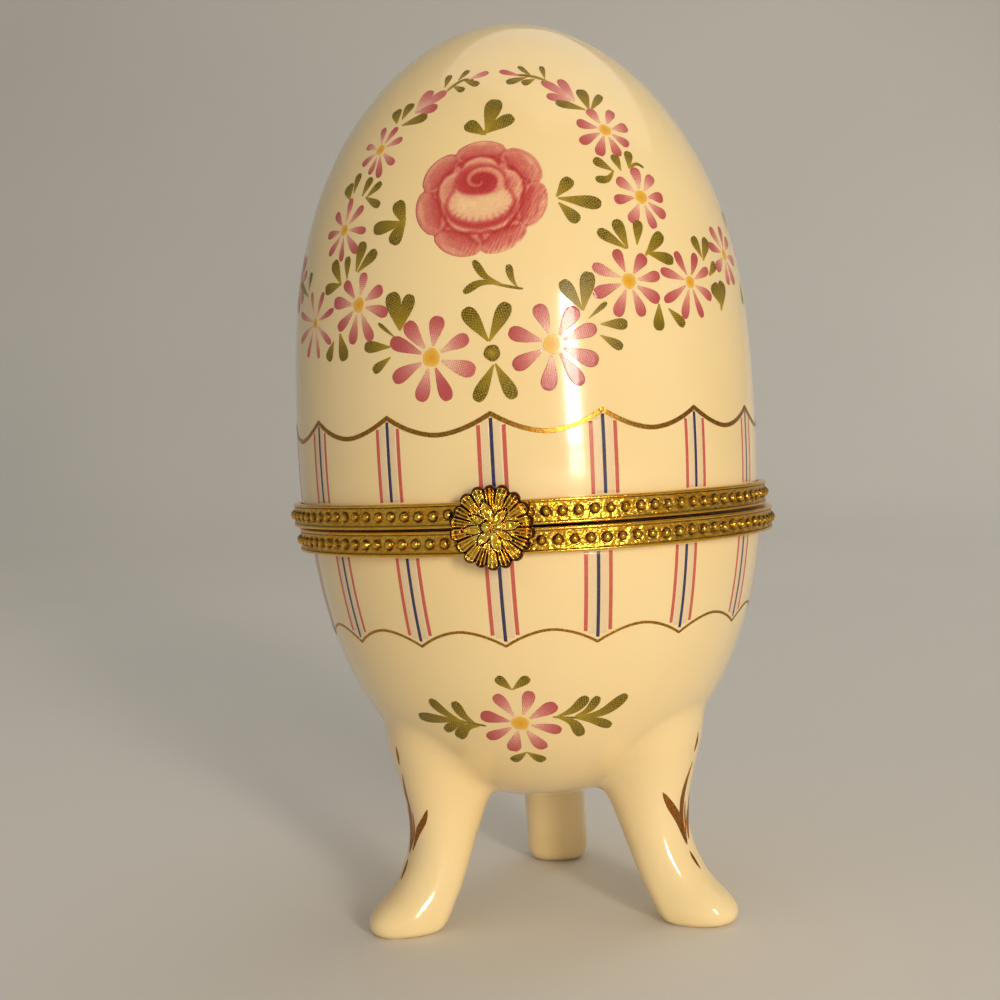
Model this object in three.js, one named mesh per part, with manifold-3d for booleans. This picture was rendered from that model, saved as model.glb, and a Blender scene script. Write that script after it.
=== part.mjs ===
// Footed egg trinket box. A porcelain bowl on three cast feet and a porcelain dome lid,
// each closed by a gilt-brass rim. The rims meet at the seam, hinge at the back and
// carry a flower-shaped clasp boss at the front.
// Millimetres, +Z up. Origin on the floor under the middle of the box. The clasp faces -Y,
// the hinge is at +Y.
import * as THREE from 'three';
import { mergeVertices } from 'three/addons/utils/BufferGeometryUtils.js';
import Module from 'manifold-3d';

const wasm = await Module();
wasm.setup();

// ---------- driving dimensions (mm) ----------
const EGG_R = 32.0;          // largest radius of the porcelain egg
const UP_Z = 62.1;           // height where the upper curve starts to close in
const UP_H = 61.2;           // from there to the crown: the crown is at 123.3
const UP_P = 3.2, UP_A = 0.156, UP_M = 3.0;      // fullness of the upper curve
const LO_Z = 67.0;           // height where the lower curve starts to close in
const LO_H = 51.2;           // from there to the belly's underside: 15.8
const LO_P = 1.95, LO_A = -0.194, LO_M = 1.66;   // fullness of the lower curve
const WALL = 3.0;            // porcelain wall

const SEAM_Z = 55.3;         // height of the joint between the rims
const SEAM_GAP = 0.15;       // half the dark line between the rims
const RIM_H = 3.25;          // height of each rim
const RIM_R = 33.15;         // outside radius of a rim's edge lips
const RIM_FIELD_R = 32.75;   // outside radius of the field between the lips
const RIM_LIP_T = 0.6;       // thickness of the ledge that covers the porcelain's edge
const RIM_LEDGE_R = 28.5;    // inner radius of that ledge
const RIM_FIT = 0.2;         // cement gap between brass and porcelain

const LID_SHIFT = -0.7;      // the lid sits this far to one side, the play in its hinge
const CENTRE_X = 0.35;       // keeps the whole box centred over the origin

const FLOWER_R = 5.35;       // clasp flower, over the lobes
const FLOWER_LOBES = 18;
const FLOWER_T = 2.1;        // its thickness at the knob
const FLOWER_Y = -33.45;     // plane of its flat back
const FLOWER_Z = SEAM_Z + 0.15;

const HINGE_Y = 34.85;       // hinge axis, at the seam's height
const BARREL_R = 1.35, PIN_R = 0.58, PIN_HOLE_R = 0.68;
const BARREL_L = 2.8, BARREL_GAP = 0.2;          // three barrels side by side
const LEAF_T = 0.5, LEAF_REACH = 3.1;            // leaf thickness, and its reach up or down the rim

const FOOT_TURN = 6;         // degrees that the front feet sit round from the clasp's line
const FOOT_ANGLES = [-30 + FOOT_TURN, -149 + FOOT_TURN, 94.5];   // set by hand, not quite evenly

// One leg as level sections, from the flat sole to inside the belly:
// height, inner reach, widest place, outer reach (from the egg's axis), half width.
const LEG = [
  [0.0, 19.2, 21.4, 26.8, 3.1],
  [0.5, 18.3, 21.0, 27.7, 3.9],
  [1.3, 17.5, 20.7, 28.2, 4.35],
  [2.35, 17.0, 20.2, 28.1, 4.6],
  [3.7, 16.3, 19.6, 27.0, 4.65],
  [5.5, 15.2, 18.8, 24.8, 4.6],
  [8.0, 14.1, 18.0, 22.9, 4.6],
  [10.5, 13.0, 17.4, 21.8, 4.6],
  [13.0, 12.0, 16.7, 21.3, 4.75],
  [16.0, 10.7, 16.1, 21.4, 5.1],
  [18.8, 9.2, 15.6, 22.0, 5.8],
  [22.0, 8.2, 15.3, 22.8, 7.0],
  [24.5, 8.0, 15.1, 23.4, 8.1],
  [26.7, 8.0, 15.0, 23.6, 8.6],
  [30.0, 8.0, 15.0, 22.6, 8.2],
];
const LEG_SQUARE = 2.15;     // superellipse power of a leg's section

const SEG = 44;              // facets round the egg and rims

// ---------- materials ----------
const porcelain = () => new THREE.MeshStandardMaterial({ color: 0xf3e8d2, roughness: 0.12, metalness: 0.0 });
const brass = () => new THREE.MeshStandardMaterial({ color: 0xc99a3c, roughness: 0.3, metalness: 1.0 });

// ---------- helpers ----------
// Outside radius of the egg at height z.
function eggRadius(z) {
  const tu = Math.min(1, Math.max(0, (z - UP_Z) / UP_H));
  const tl = Math.min(1, Math.max(0, (LO_Z - z) / LO_H));
  const up = Math.sqrt(Math.max(0, 1 - tu ** UP_P)) * (1 - UP_A * tu ** UP_M);
  const lo = Math.sqrt(Math.max(0, 1 - tl ** LO_P)) * (1 - LO_A * tl ** LO_M);
  return EGG_R * up * lo;
}

// Outer curve of the egg from height z0 to its pole, as [radius, height], denser at the pole.
function eggCurve(z0, n, upper) {
  const H = upper ? UP_H : LO_H, zm = upper ? UP_Z : LO_Z, s = upper ? 1 : -1;
  const t0 = Math.asin(Math.max(0, (s * (z0 - zm)) / H));
  const pts = [];
  for (let i = 0; i <= n; i++) {
    const z = zm + s * H * Math.sin(t0 + ((Math.PI / 2 - t0) * i) / n);
    pts.push([i === n ? 0 : eggRadius(z), z]);
  }
  return pts;
}

// The same curve moved inwards by the wall.
function inward(curve, wall) {
  return curve.map(([r, z], i) => {
    if (i === curve.length - 1) return [0, z - Math.sign(z - SEAM_Z) * wall];
    const e = 0.02;
    const slope = (eggRadius(z + e) - eggRadius(z - e)) / (2 * e);
    const n = Math.hypot(1, slope);
    return [Math.max(0.4, r - wall / n), z + (wall * slope) / n];
  });
}

// Merge shared points, drop empty triangles and turn the faces outwards.
function tidy(geometry) {
  let g = geometry.clone();
  g.deleteAttribute('normal');
  g.deleteAttribute('uv');
  g = mergeVertices(g, 1e-4);
  const p = g.getAttribute('position'), ix = g.getIndex().array, keep = [];
  let volume = 0;
  const v = (i) => new THREE.Vector3().fromBufferAttribute(p, i);
  for (let i = 0; i < ix.length; i += 3) {
    const [a, b, c] = [ix[i], ix[i + 1], ix[i + 2]];
    if (a === b || b === c || c === a) continue;
    keep.push(a, b, c);
    volume += v(a).dot(v(b).cross(v(c)));
  }
  if (volume < 0) for (let i = 0; i < keep.length; i += 3) [keep[i + 1], keep[i + 2]] = [keep[i + 2], keep[i + 1]];
  g.setIndex(keep);
  return g;
}

function toSolid(geometry) {
  const g = tidy(geometry);
  return new wasm.Manifold(new wasm.Mesh({
    numProp: 3,
    vertProperties: new Float32Array(g.getAttribute('position').array),
    triVerts: new Uint32Array(g.getIndex().array),
  }));
}

function toGeometry(solid) {
  const m = solid.getMesh();
  const g = new THREE.BufferGeometry();
  g.setAttribute('position', new THREE.BufferAttribute(new Float32Array(m.vertProperties), 3));
  g.setIndex(new THREE.BufferAttribute(new Uint32Array(m.triVerts), 1));
  return g;
}

// Revolve a [radius, height] outline about +Z.
function revolve(outline, segments = SEG) {
  const g = new THREE.LatheGeometry(outline.map(([r, z]) => new THREE.Vector2(r, z)), segments);
  return tidy(g.rotateX(Math.PI / 2));
}

// Close a stack of rings, each a list of points, with a centre point at either end.
function loft(rings, startCentre, endCentre) {
  const n = rings[0].length, pos = [], idx = [];
  for (const ring of rings) for (const q of ring) pos.push(q.x, q.y, q.z);
  const a = pos.length / 3; pos.push(startCentre.x, startCentre.y, startCentre.z);
  const b = a + 1; pos.push(endCentre.x, endCentre.y, endCentre.z);
  const last = (rings.length - 1) * n;
  for (let j = 0; j < n; j++) {
    const k = (j + 1) % n;
    for (let i = 0; i + 1 < rings.length; i++) {
      const p = i * n, q = (i + 1) * n;
      idx.push(p + j, p + k, q + k, p + j, q + k, q + j);
    }
    idx.push(a, k, j, b, last + j, last + k);
  }
  const g = new THREE.BufferGeometry();
  g.setAttribute('position', new THREE.Float32BufferAttribute(pos, 3));
  g.setIndex(idx);
  return tidy(g);
}

// ---------- porcelain ----------
// Curved leg with a foot that turns outwards, standing on a flat sole.
function leg(angleDeg) {
  const N = 16, dir = (angleDeg * Math.PI) / 180;
  const rings = LEG.map(([z, ri, rc, ro, w]) => {
    const ring = [];
    for (let j = 0; j < N; j++) {
      const f = (2 * Math.PI * j) / N, c = Math.cos(f), s = Math.sin(f);
      const pw = (x) => Math.sign(x) * Math.abs(x) ** (2 / LEG_SQUARE);
      const along = rc + pw(c) * (c > 0 ? ro - rc : rc - ri), across = pw(s) * w;
      ring.push(new THREE.Vector3(
        along * Math.cos(dir) - across * Math.sin(dir),
        along * Math.sin(dir) + across * Math.cos(dir), z));
    }
    return ring;
  });
  const centre = (i) => new THREE.Vector3(LEG[i][2] * Math.cos(dir), LEG[i][2] * Math.sin(dir), LEG[i][0]);
  return loft(rings, centre(0), centre(LEG.length - 1));
}

function baseShell() {
  const edge = SEAM_Z - SEAM_GAP - RIM_LIP_T - RIM_FIT;
  const outer = eggCurve(edge, 12, false);
  const skin = toSolid(revolve([[0, edge], ...outer]));
  const inner = inward(outer, WALL);
  inner[0] = [inner[0][0], edge + 1];
  const hollow = toSolid(revolve([[0, edge + 1], ...inner]));
  let body = skin;
  for (const a of FOOT_ANGLES) body = body.add(toSolid(leg(a)));
  return toGeometry(body.subtract(hollow));
}

function lidShell() {
  const edge = SEAM_Z + SEAM_GAP + RIM_LIP_T + RIM_FIT;
  const upper = eggCurve(UP_Z, 14, true);
  const outer = [[eggRadius(edge), edge], [eggRadius((edge + UP_Z) / 2), (edge + UP_Z) / 2], ...upper];
  const inner = inward(outer, WALL);
  inner[0] = [inner[0][0], edge];
  return revolve([...outer, ...inner.reverse(), outer[0]]);
}

// ---------- rims ----------
// One rim, up = +1 for the lid's and -1 for the base's: a ledge over the porcelain's edge,
// and a band outside it with a raised lip along each edge.
function rim(up) {
  const edge = SEAM_GAP, ledge = edge + RIM_LIP_T, top = RIM_H;
  const wallR = up > 0 ? eggRadius(SEAM_Z + RIM_H) + RIM_FIT : eggRadius(SEAM_Z) + RIM_FIT;
  const outline = [
    [RIM_LEDGE_R, edge], [RIM_R - 0.12, edge], [RIM_R, edge + 0.12], [RIM_R, edge + 0.34], [RIM_FIELD_R, edge + 0.5],
    [RIM_FIELD_R, top - 0.5], [RIM_R, top - 0.34], [RIM_R, top - 0.12], [RIM_R - 0.12, top],
    [wallR, top], [wallR, ledge], [RIM_LEDGE_R, ledge], [RIM_LEDGE_R, edge],
  ].map(([r, z]) => [r, SEAM_Z + up * z]);
  return revolve(outline);
}

// ---------- clasp ----------
// Round flower boss with scalloped petals in two layers and a knob, flat behind.
function flower() {
  const N = FLOWER_LOBES * 3;
  const ring = (share, depth, lobe) => {
    const pts = [];
    for (let j = 0; j < N; j++) {
      const f = (2 * Math.PI * j) / N;
      const r = share * FLOWER_R * (1 - lobe * (0.5 - 0.5 * Math.cos(FLOWER_LOBES * f)));
      pts.push(new THREE.Vector3(r * Math.cos(f), FLOWER_Y - depth, FLOWER_Z + r * Math.sin(f)));
    }
    return pts;
  };
  const rings = [ring(0.93, 0, 0.08), ring(1.0, 0.45, 0.08), ring(0.96, 0.95, 0.08), ring(0.66, 1.25, 0.03),
    ring(0.58, 1.55, 0.06), ring(0.24, 1.35, 0), ring(0.16, FLOWER_T - 0.15, 0)];
  return loft(rings, new THREE.Vector3(0, FLOWER_Y, FLOWER_Z), new THREE.Vector3(0, FLOWER_Y - FLOWER_T, FLOWER_Z));
}

// ---------- hinge ----------
function barX(r, x0, x1, segments = 16) {
  return new THREE.CylinderGeometry(r, r, x1 - x0, segments).rotateZ(Math.PI / 2)
    .translate((x0 + x1) / 2, HINGE_Y, SEAM_Z);
}
function block(x0, x1, y0, y1, z0, z1) {
  return new THREE.BoxGeometry(x1 - x0, y1 - y0, z1 - z0).translate((x0 + x1) / 2, (y0 + y1) / 2, (z0 + z1) / 2);
}
const HALF = 1.5 * BARREL_L + BARREL_GAP;       // half the hinge's width
// A leaf lies flat against its rim and curls round the pin in one or two barrels.
function leaf(up, spans) {
  const y0 = HINGE_Y - BARREL_R, y1 = y0 + LEAF_T;
  const far = SEAM_Z + up * LEAF_REACH, near = SEAM_Z + up * (BARREL_R + 0.2);
  let s = toSolid(block(-HALF, HALF, y0, y1, Math.min(far, near), Math.max(far, near)));
  for (const [a, b] of spans) {
    s = s.add(toSolid(block(a, b, y0, y1, Math.min(SEAM_Z, far), Math.max(SEAM_Z, far))));
    s = s.add(toSolid(barX(BARREL_R, a, b)));
  }
  return toGeometry(s.subtract(toSolid(barX(PIN_HOLE_R, -HALF - 1, HALF + 1))));
}
function hingePin() {
  const end = HALF + 0.15, head = 0.35;
  const outline = [[0, -end - head], [0.7, -end - head], [0.95, -end], [PIN_R, -end],
    [PIN_R, end], [0.95, end], [0.7, end + head], [0, end + head]];
  return revolve(outline, 16).rotateY(Math.PI / 2).translate(0, HINGE_Y, SEAM_Z);
}

// ---------- the box ----------
const box = new THREE.Group();
const base = new THREE.Group();
const lid = new THREE.Group();
const hinge = new THREE.Group();
base.position.x = CENTRE_X;
lid.position.x = CENTRE_X + LID_SHIFT;
box.add(base, lid, hinge);

function piece(parent, name, geometry, material) {
  const mesh = new THREE.Mesh(geometry, material);
  mesh.name = name;
  parent.add(mesh);
}
const m = BARREL_L / 2, e = m + BARREL_GAP;
piece(base, 'base_shell', baseShell(), porcelain());
piece(base, 'base_rim', rim(-1), brass());
piece(lid, 'lid_shell', lidShell(), porcelain());
piece(lid, 'lid_rim', rim(1), brass());
piece(lid, 'clasp_flower', flower(), brass());
piece(hinge, 'hinge_leaf_base', leaf(-1, [[-HALF, -e], [e, HALF]]), brass());
piece(hinge, 'hinge_leaf_lid', leaf(1, [[-m, m]]), brass());
piece(hinge, 'hinge_pin', hingePin(), brass());

export default box;
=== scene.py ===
import math

import bpy
import numpy as np
from mathutils import Matrix, Vector


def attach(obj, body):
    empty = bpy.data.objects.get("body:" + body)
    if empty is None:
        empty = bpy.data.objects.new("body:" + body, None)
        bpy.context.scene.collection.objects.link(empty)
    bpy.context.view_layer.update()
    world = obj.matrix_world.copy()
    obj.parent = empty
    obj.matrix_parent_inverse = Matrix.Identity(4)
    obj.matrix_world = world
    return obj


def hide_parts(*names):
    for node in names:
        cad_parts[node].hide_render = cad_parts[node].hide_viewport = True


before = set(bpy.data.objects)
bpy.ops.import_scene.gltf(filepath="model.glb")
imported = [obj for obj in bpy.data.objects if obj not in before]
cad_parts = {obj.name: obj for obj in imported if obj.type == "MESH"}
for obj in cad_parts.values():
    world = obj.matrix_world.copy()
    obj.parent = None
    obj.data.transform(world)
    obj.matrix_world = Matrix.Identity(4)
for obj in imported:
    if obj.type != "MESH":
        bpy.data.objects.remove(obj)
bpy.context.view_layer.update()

MM = 0.001

# ---------- the egg's profile and the base's solid, as numbers (mm) ----------
SEAM, WALL = 55.3, 3.0
FOOT_ANGLES = (-24.0, -143.0, 94.5)
LEG = np.array([
    [0.0, 19.2, 21.4, 26.8, 3.1], [0.5, 18.3, 21.0, 27.7, 3.9], [1.3, 17.5, 20.7, 28.2, 4.35],
    [2.35, 17.0, 20.2, 28.1, 4.6], [3.7, 16.3, 19.6, 27.0, 4.65], [5.5, 15.2, 18.8, 24.8, 4.6],
    [8.0, 14.1, 18.0, 22.9, 4.6], [10.5, 13.0, 17.4, 21.8, 4.6], [13.0, 12.0, 16.7, 21.3, 4.75],
    [16.0, 10.7, 16.1, 21.4, 5.1], [18.8, 9.2, 15.6, 22.0, 5.8], [22.0, 8.2, 15.3, 22.8, 7.0],
    [24.5, 8.0, 15.1, 23.4, 8.1], [26.7, 8.0, 15.0, 23.6, 8.6], [30.0, 8.0, 15.0, 22.6, 8.2]])
LEG_POWER = 2.15
AXIS = {"lid": -0.35, "base": 0.35}


def egg_radius(z):
    z = np.asarray(z, float)
    tu = np.clip((z - 62.1) / 61.2, 0, 1)
    tl = np.clip((67.0 - z) / 51.2, 0, 1)
    up = np.sqrt(np.maximum(0, 1 - tu ** 3.2)) * (1 - 0.156 * tu ** 3.0)
    lo = np.sqrt(np.maximum(0, 1 - tl ** 1.95)) * (1 + 0.194 * tl ** 1.66)
    return 32.0 * up * lo


def meridian(n=1200):
    """The whole outline from the lower pole to the crown: heights, radii and lengths along it."""
    a = np.linspace(0, np.pi / 2, n)
    z = np.concatenate([67.0 - 51.2 * np.cos(a), 62.1 + 61.2 * np.sin(a)])
    z = np.unique(np.round(z[(z >= 15.8) & (z <= 123.3)], 6))
    r = egg_radius(z)
    s = np.concatenate([[0], np.cumsum(np.hypot(np.diff(z), np.diff(r)))])
    return z, r, s


MZ, MR_, MS = meridian()
_dr, _dz = np.gradient(MR_, MS), np.gradient(MZ, MS)
_ln = np.hypot(_dr, _dz)
MNR, MNZ = _dz / _ln, -_dr / _ln
MNR[0], MNZ[0], MNR[-1], MNZ[-1] = 0.0, -1.0, 0.0, 1.0


def egg_distance_table():
    """Signed distance to the outline on a grid of radius and height, for the lower half of the egg."""
    rr, zz = np.arange(0, 44.01, 0.25), np.arange(-2, 70.01, 0.25)
    keep = MZ < 74
    pr, pz, nr, nz = MR_[keep], MZ[keep], MNR[keep], MNZ[keep]
    # a finer walk along the outline
    s = np.linspace(0, MS[keep][-1], 1500)
    pr, pz = np.interp(s, MS, MR_), np.interp(s, MS, MZ)
    nr, nz = np.interp(s, MS, MNR), np.interp(s, MS, MNZ)
    table = np.zeros((len(rr), len(zz)))
    for i, r in enumerate(rr):
        d2 = (r - pr[None, :]) ** 2 + (zz[:, None] - pz[None, :]) ** 2
        j = np.argmin(d2, 1)
        d = np.sqrt(d2[np.arange(len(zz)), j])
        side = (r - pr[j]) * nr[j] + (zz - pz[j]) * nz[j]
        across = np.abs(side)
        table[i] = np.where(d < 0.5, side, np.sign(side) * d)
    return table


EGG_TABLE = egg_distance_table()


def egg_distance(rho, z):
    u = np.clip(rho / 0.25, 0, EGG_TABLE.shape[0] - 1.001)
    v = np.clip((z + 2) / 0.25, 0, EGG_TABLE.shape[1] - 1.001)
    i, j = u.astype(int), v.astype(int)
    a, b = u - i, v - j
    t = EGG_TABLE
    return (t[i, j] * (1 - a) * (1 - b) + t[i + 1, j] * a * (1 - b) + t[i, j + 1] * (1 - a) * b + t[i + 1, j + 1] * a * b)


def hermite(x, xs, ys):
    """Smooth curve through the points (xs, ys)."""
    x = np.clip(x, xs[0], xs[-1])
    m = np.gradient(ys, xs)
    k = np.clip(np.searchsorted(xs, x) - 1, 0, len(xs) - 2)
    h = xs[k + 1] - xs[k]
    t = (x - xs[k]) / h
    return ((2 * t ** 3 - 3 * t ** 2 + 1) * ys[k] + (t ** 3 - 2 * t ** 2 + t) * h * m[k]
            + (-2 * t ** 3 + 3 * t ** 2) * ys[k + 1] + (t ** 3 - t ** 2) * h * m[k + 1])


def smooth_min(a, b, k):
    h = np.clip(0.5 + 0.5 * (b - a) / k, 0, 1)
    return b * (1 - h) + a * h - k * h * (1 - h)


def leg_distance(x, y, z, angle):
    """About how far a point is outside a leg; x is measured from the base's axis."""
    c, s = math.cos(math.radians(angle)), math.sin(math.radians(angle))
    u, v = x * c + y * s, -x * s + y * c
    zc = np.clip(z, 0, 30)
    ri, rc, ro, w = (hermite(zc, LEG[:, 0], LEG[:, i]) for i in (1, 2, 3, 4))
    a = np.where(u > rc, ro - rc, rc - ri)
    p, q, k = np.abs(u - rc) / a, np.abs(v) / w, LEG_POWER
    n = np.maximum((p ** k + q ** k), 1e-6) ** (1 / k)
    g = np.hypot((p / n) ** (k - 1) / a, (q / n) ** (k - 1) / w)
    d = (n - 1) / np.maximum(g, 1e-4)
    return np.maximum(np.maximum(d, -z), (z - 31.0))


def base_skin(p):
    """The base's outside, as a field that is negative inside; p is points in the row frame, mm."""
    x, y, z = p[..., 0] - AXIS["base"], p[..., 1], p[..., 2]
    d = egg_distance(np.hypot(x, y), z)
    for angle in FOOT_ANGLES:
        d = smooth_min(d, leg_distance(x, y, z, angle), 1.6)
    return d


def base_field(p):
    x, y, z = p[..., 0] - AXIS["base"], p[..., 1], p[..., 2]
    hollow = -(egg_distance(np.hypot(x, y), z) + WALL)
    d = -smooth_min(-base_skin(p), -hollow, 0.25)
    return np.maximum(d, z - 54.35)


def gradient(field, p, e=0.02):
    g = np.zeros_like(p)
    for i in range(3):
        q = p.copy()
        q[..., i] += e
        r = p.copy()
        r[..., i] -= e
        g[..., i] = (field(q) - field(r)) / (2 * e)
    return g


# ---------- places on the porcelain ----------
def skin_point(body, az, s):
    """Points and normals on the egg at azimuths az (radians) and lengths s up the outline, mm."""
    r, z = np.interp(s, MS, MR_), np.interp(s, MS, MZ)
    nr, nz = np.interp(s, MS, MNR), np.interp(s, MS, MNZ)
    c, d = np.cos(az), np.sin(az)
    return (np.stack([AXIS[body] + r * c, r * d, z], -1), np.stack([nr * c, nr * d, nz], -1))


def at_height(z):
    return np.interp(z, MZ, MS)


class Chart:
    """Flat coordinates in mm on the egg round one place: x along the parallel, y up the outline."""

    def __init__(self, body, az, z):
        self.body, self.az, self.s = body, math.radians(az), float(at_height(z))

    def flat(self, az, z):
        return np.stack([(np.radians(np.asarray(az, float)) - self.az) * egg_radius(z), at_height(z) - self.s], -1)

    def place(self, xy, lift):
        s = self.s + xy[..., 1]
        r = np.maximum(np.interp(s, MS, MR_), 0.5)
        p, n = skin_point(self.body, self.az + xy[..., 0] / r, s)
        if self.body == "base":  # the legs' roots rise out of the egg here and there
            for _ in range(2):
                p = p - n * base_skin(p)[..., None]
        return p + n * lift[..., None]


class LegChart:
    """Flat coordinates in mm on a leg's outer face: x across it, y the height."""

    def __init__(self, angle):
        self.angle = math.radians(angle)

    def place(self, xy, lift):
        c, s = math.cos(self.angle), math.sin(self.angle)
        out = np.array([c, s, 0.0])
        side = np.array([-s, c, 0.0])
        p = np.array([AXIS["base"], 0, 0]) + out * 29.0 + side * xy[..., :1] + np.array([0, 0, 1.0]) * xy[..., 1:2]
        for _ in range(40):
            p = p - out * (0.8 * base_skin(p))[..., None]
        n = gradient(base_skin, p)
        n /= np.linalg.norm(n, axis=-1, keepdims=True)
        return p + n * lift[..., None]


# ---------- meshes ----------
class Heap:
    """Collects patches into one mesh."""

    def __init__(self, *names):
        self.v, self.f, self.n = [], [], 0
        self.a = {k: [] for k in names}

    def add(self, verts, faces, **values):
        verts = np.asarray(verts, float).reshape(-1, 3)
        self.v.append(verts)
        self.f.extend([tuple(int(i) + self.n for i in face) for face in faces])
        self.n += len(verts)
        for k in self.a:
            self.a[k].append(np.broadcast_to(np.asarray(values.get(k, 0.0), float).reshape(-1), (len(verts),)))

    def done(self, name, body, slot, material, sharp=None):
        attributes = {k: np.concatenate(x) for k, x in self.a.items()}
        return make_object(name, np.concatenate(self.v), self.f, body, material, attributes, sharp=sharp)


def make_object(name, verts, faces, body, material, attributes=None, normals=None, sharp=None):
    mesh = bpy.data.meshes.new(name)
    mesh.from_pydata((np.asarray(verts, float) * MM).tolist(), [], [list(map(int, f)) for f in faces])
    mesh.update()
    for key, values in (attributes or {}).items():
        mesh.attributes.new(key, "FLOAT", "POINT").data.foreach_set("value", np.asarray(values, np.float32))
    mesh.polygons.foreach_set("use_smooth", np.ones(len(mesh.polygons), bool))
    if sharp is not None:
        mesh.set_sharp_from_angle(angle=math.radians(sharp))
    mesh.validate()
    if normals is not None:
        mesh.normals_split_custom_set_from_vertices(np.asarray(normals, float).tolist())
    obj = bpy.data.objects.new(name, mesh)
    bpy.context.scene.collection.objects.link(obj)
    mesh.materials.append(material)
    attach(obj, body)
    return obj


def lathe(outline, segments, closed=True, axis_x=0.0):
    """Turns a closed outline of (radius, height) about a vertical line."""
    outline = np.asarray(outline, float)
    n = len(outline)
    a = np.linspace(0, 2 * np.pi, segments, endpoint=False)
    v = np.stack([axis_x + outline[None, :, 0] * np.cos(a)[:, None], outline[None, :, 0] * np.sin(a)[:, None],
                  np.broadcast_to(outline[None, :, 1], (segments, n))], -1).reshape(-1, 3)
    faces = []
    last = n if closed else n - 1
    for i in range(segments):
        j = (i + 1) % segments
        for k in range(last):
            m = (k + 1) % n
            faces.append((i * n + k, j * n + k, j * n + m, i * n + m))
    return v, faces


def sheet_solid(top, bottom):
    """A thin closed solid between two grids of points of the same shape."""
    n, m = top.shape[:2]
    v = np.concatenate([top.reshape(-1, 3), bottom.reshape(-1, 3)])
    f = []
    off = n * m
    for i in range(n - 1):
        j = i + 1
        for k in range(m - 1):
            a, b, c, d = i * m + k, j * m + k, j * m + k + 1, i * m + k + 1
            f.append((a, b, c, d))
            f.append((off + d, off + c, off + b, off + a))
        f.append((i * m, off + i * m, off + j * m, j * m))
        f.append((j * m + m - 1, off + j * m + m - 1, off + i * m + m - 1, i * m + m - 1))
    for k in range(m - 1):
        f.append((k + 1, off + k + 1, off + k, k))
        a = (n - 1) * m
        f.append((a + k, off + a + k, off + a + k + 1, a + k + 1))
    return v, f


def curve_through(points, t):
    """Points at the places t, from 0 to 1, along a smooth curve through the given ones."""
    p = np.asarray(points, float)
    if len(p) == 2:
        t = t[:, None]
        return p[0] * (1 - t) + p[1] * t
    d = np.concatenate([[0], np.cumsum(np.linalg.norm(np.diff(p, axis=0), axis=1))])
    d /= d[-1]
    return np.stack([hermite(t, d, p[:, i]) for i in range(p.shape[1])], -1)


PROFILES = {
    # width along the stroke, as a share of the widest
    "petal": ([0, .08, .2, .35, .5, .62, .74, .84, .92, .97, 1], [.16, .24, .40, .62, .82, .95, 1, .93, .74, .48, .14]),
    "leaf": ([0, .08, .2, .35, .5, .62, .74, .84, .92, .97, 1], [.10, .20, .36, .58, .80, .94, 1, .95, .78, .52, .16]),
    "stem": ([0, .1, .5, .9, 1], [.5, .9, 1, .8, .35]),
    "blade": ([0, .12, .3, .5, .7, .88, 1], [.06, .42, .82, 1, .84, .44, .06]),
    "even": ([0, 1], [1, 1]),
}
_layer = [0]


def stroke(heap, chart, points, width, kind="leaf", n=12, m=7, lift=0.018, asym=0.0, tones=None, widths=None, seed=0.0,
           layer=None, reverse=False, scallop=0.0):
    """One brush stroke: a thin domed strip of enamel along the points, laid on the chart's surface."""
    even = np.linspace(0, 1, n)
    t = 0.5 * even + 0.25 * (1 - np.cos(np.pi * even))       # closer together at the two ends
    spine = curve_through(points, t)
    tangent = np.gradient(spine, t, axis=0)
    tangent /= np.maximum(np.linalg.norm(tangent, axis=1, keepdims=True), 1e-9)
    across = np.stack([-tangent[:, 1], tangent[:, 0]], -1)
    if widths is not None:
        wt, wv = zip(*widths)
        half = np.interp(t, wt, wv) / 2
        rise = t < 0.0
    else:
        wt, wv = PROFILES[kind]
        half = np.interp(t, wt, wv) * width / 2
    s = np.array([-1, -.95, -.82, -.45, 0, .45, .82, .95, 1]) if m < 9 else np.sort(np.concatenate([np.linspace(-1, 1, m), [-.96, .96]]))
    m = len(s)
    xy = spine[:, None, :] + across[:, None, :] * (half[:, None] * s[None, :])[..., None]
    xy = xy + across[:, None, :] * (asym * half * np.sin(np.pi * t))[:, None, None]
    if scallop:
        ends = np.exp(-((1 - t) / 0.09) ** 2)[:, None]
        xy = xy + tangent[:, None, :] * (scallop * np.cos(s * 9.0) * ends)[..., None]
    if layer is None:
        _layer[0] = (_layer[0] + 1) % 9
        layer = _layer[0]
    rim = np.maximum(np.abs(s)[None, :], np.maximum(1 - np.minimum(t / 0.03, 1), 1 - np.minimum((1 - t) / 0.03, 1))[:, None])
    up = lift + 0.003 * layer - (lift + 0.003 * layer + 0.02) * np.clip((rim - 0.955) / 0.045, 0, 1) ** 2
    top = chart.place(xy, up)
    bottom = chart.place(xy, np.full(up.shape, -0.07))
    v, f = sheet_solid(top, bottom)
    length = np.concatenate([[0], np.cumsum(np.linalg.norm(np.diff(spine, axis=0), axis=1))])
    tt = np.broadcast_to(t[:, None], (n, m))
    ss = np.broadcast_to(s[None, :], (n, m))
    values = {"along": tt, "across": ss, "x_mm": ss * half[:, None], "y_mm": np.broadcast_to(length[:, None], (n, m)),
              "seed": np.full((n, m), seed)}
    if tones is not None:
        (a0, a1, a2), (b0, b1, b2) = tones
        w = ss
        lo = np.where(w < 0, a1 + (a0 - a1) * -w, a1 + (a2 - a1) * w)
        hi = np.where(w < 0, b1 + (b0 - b1) * -w, b1 + (b2 - b1) * w)
        values["tone"] = lo * (1 - tt) + hi * tt
    heap.add(v, f, **{k: np.tile(np.asarray(x).reshape(-1), 2) for k, x in values.items()})


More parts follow.
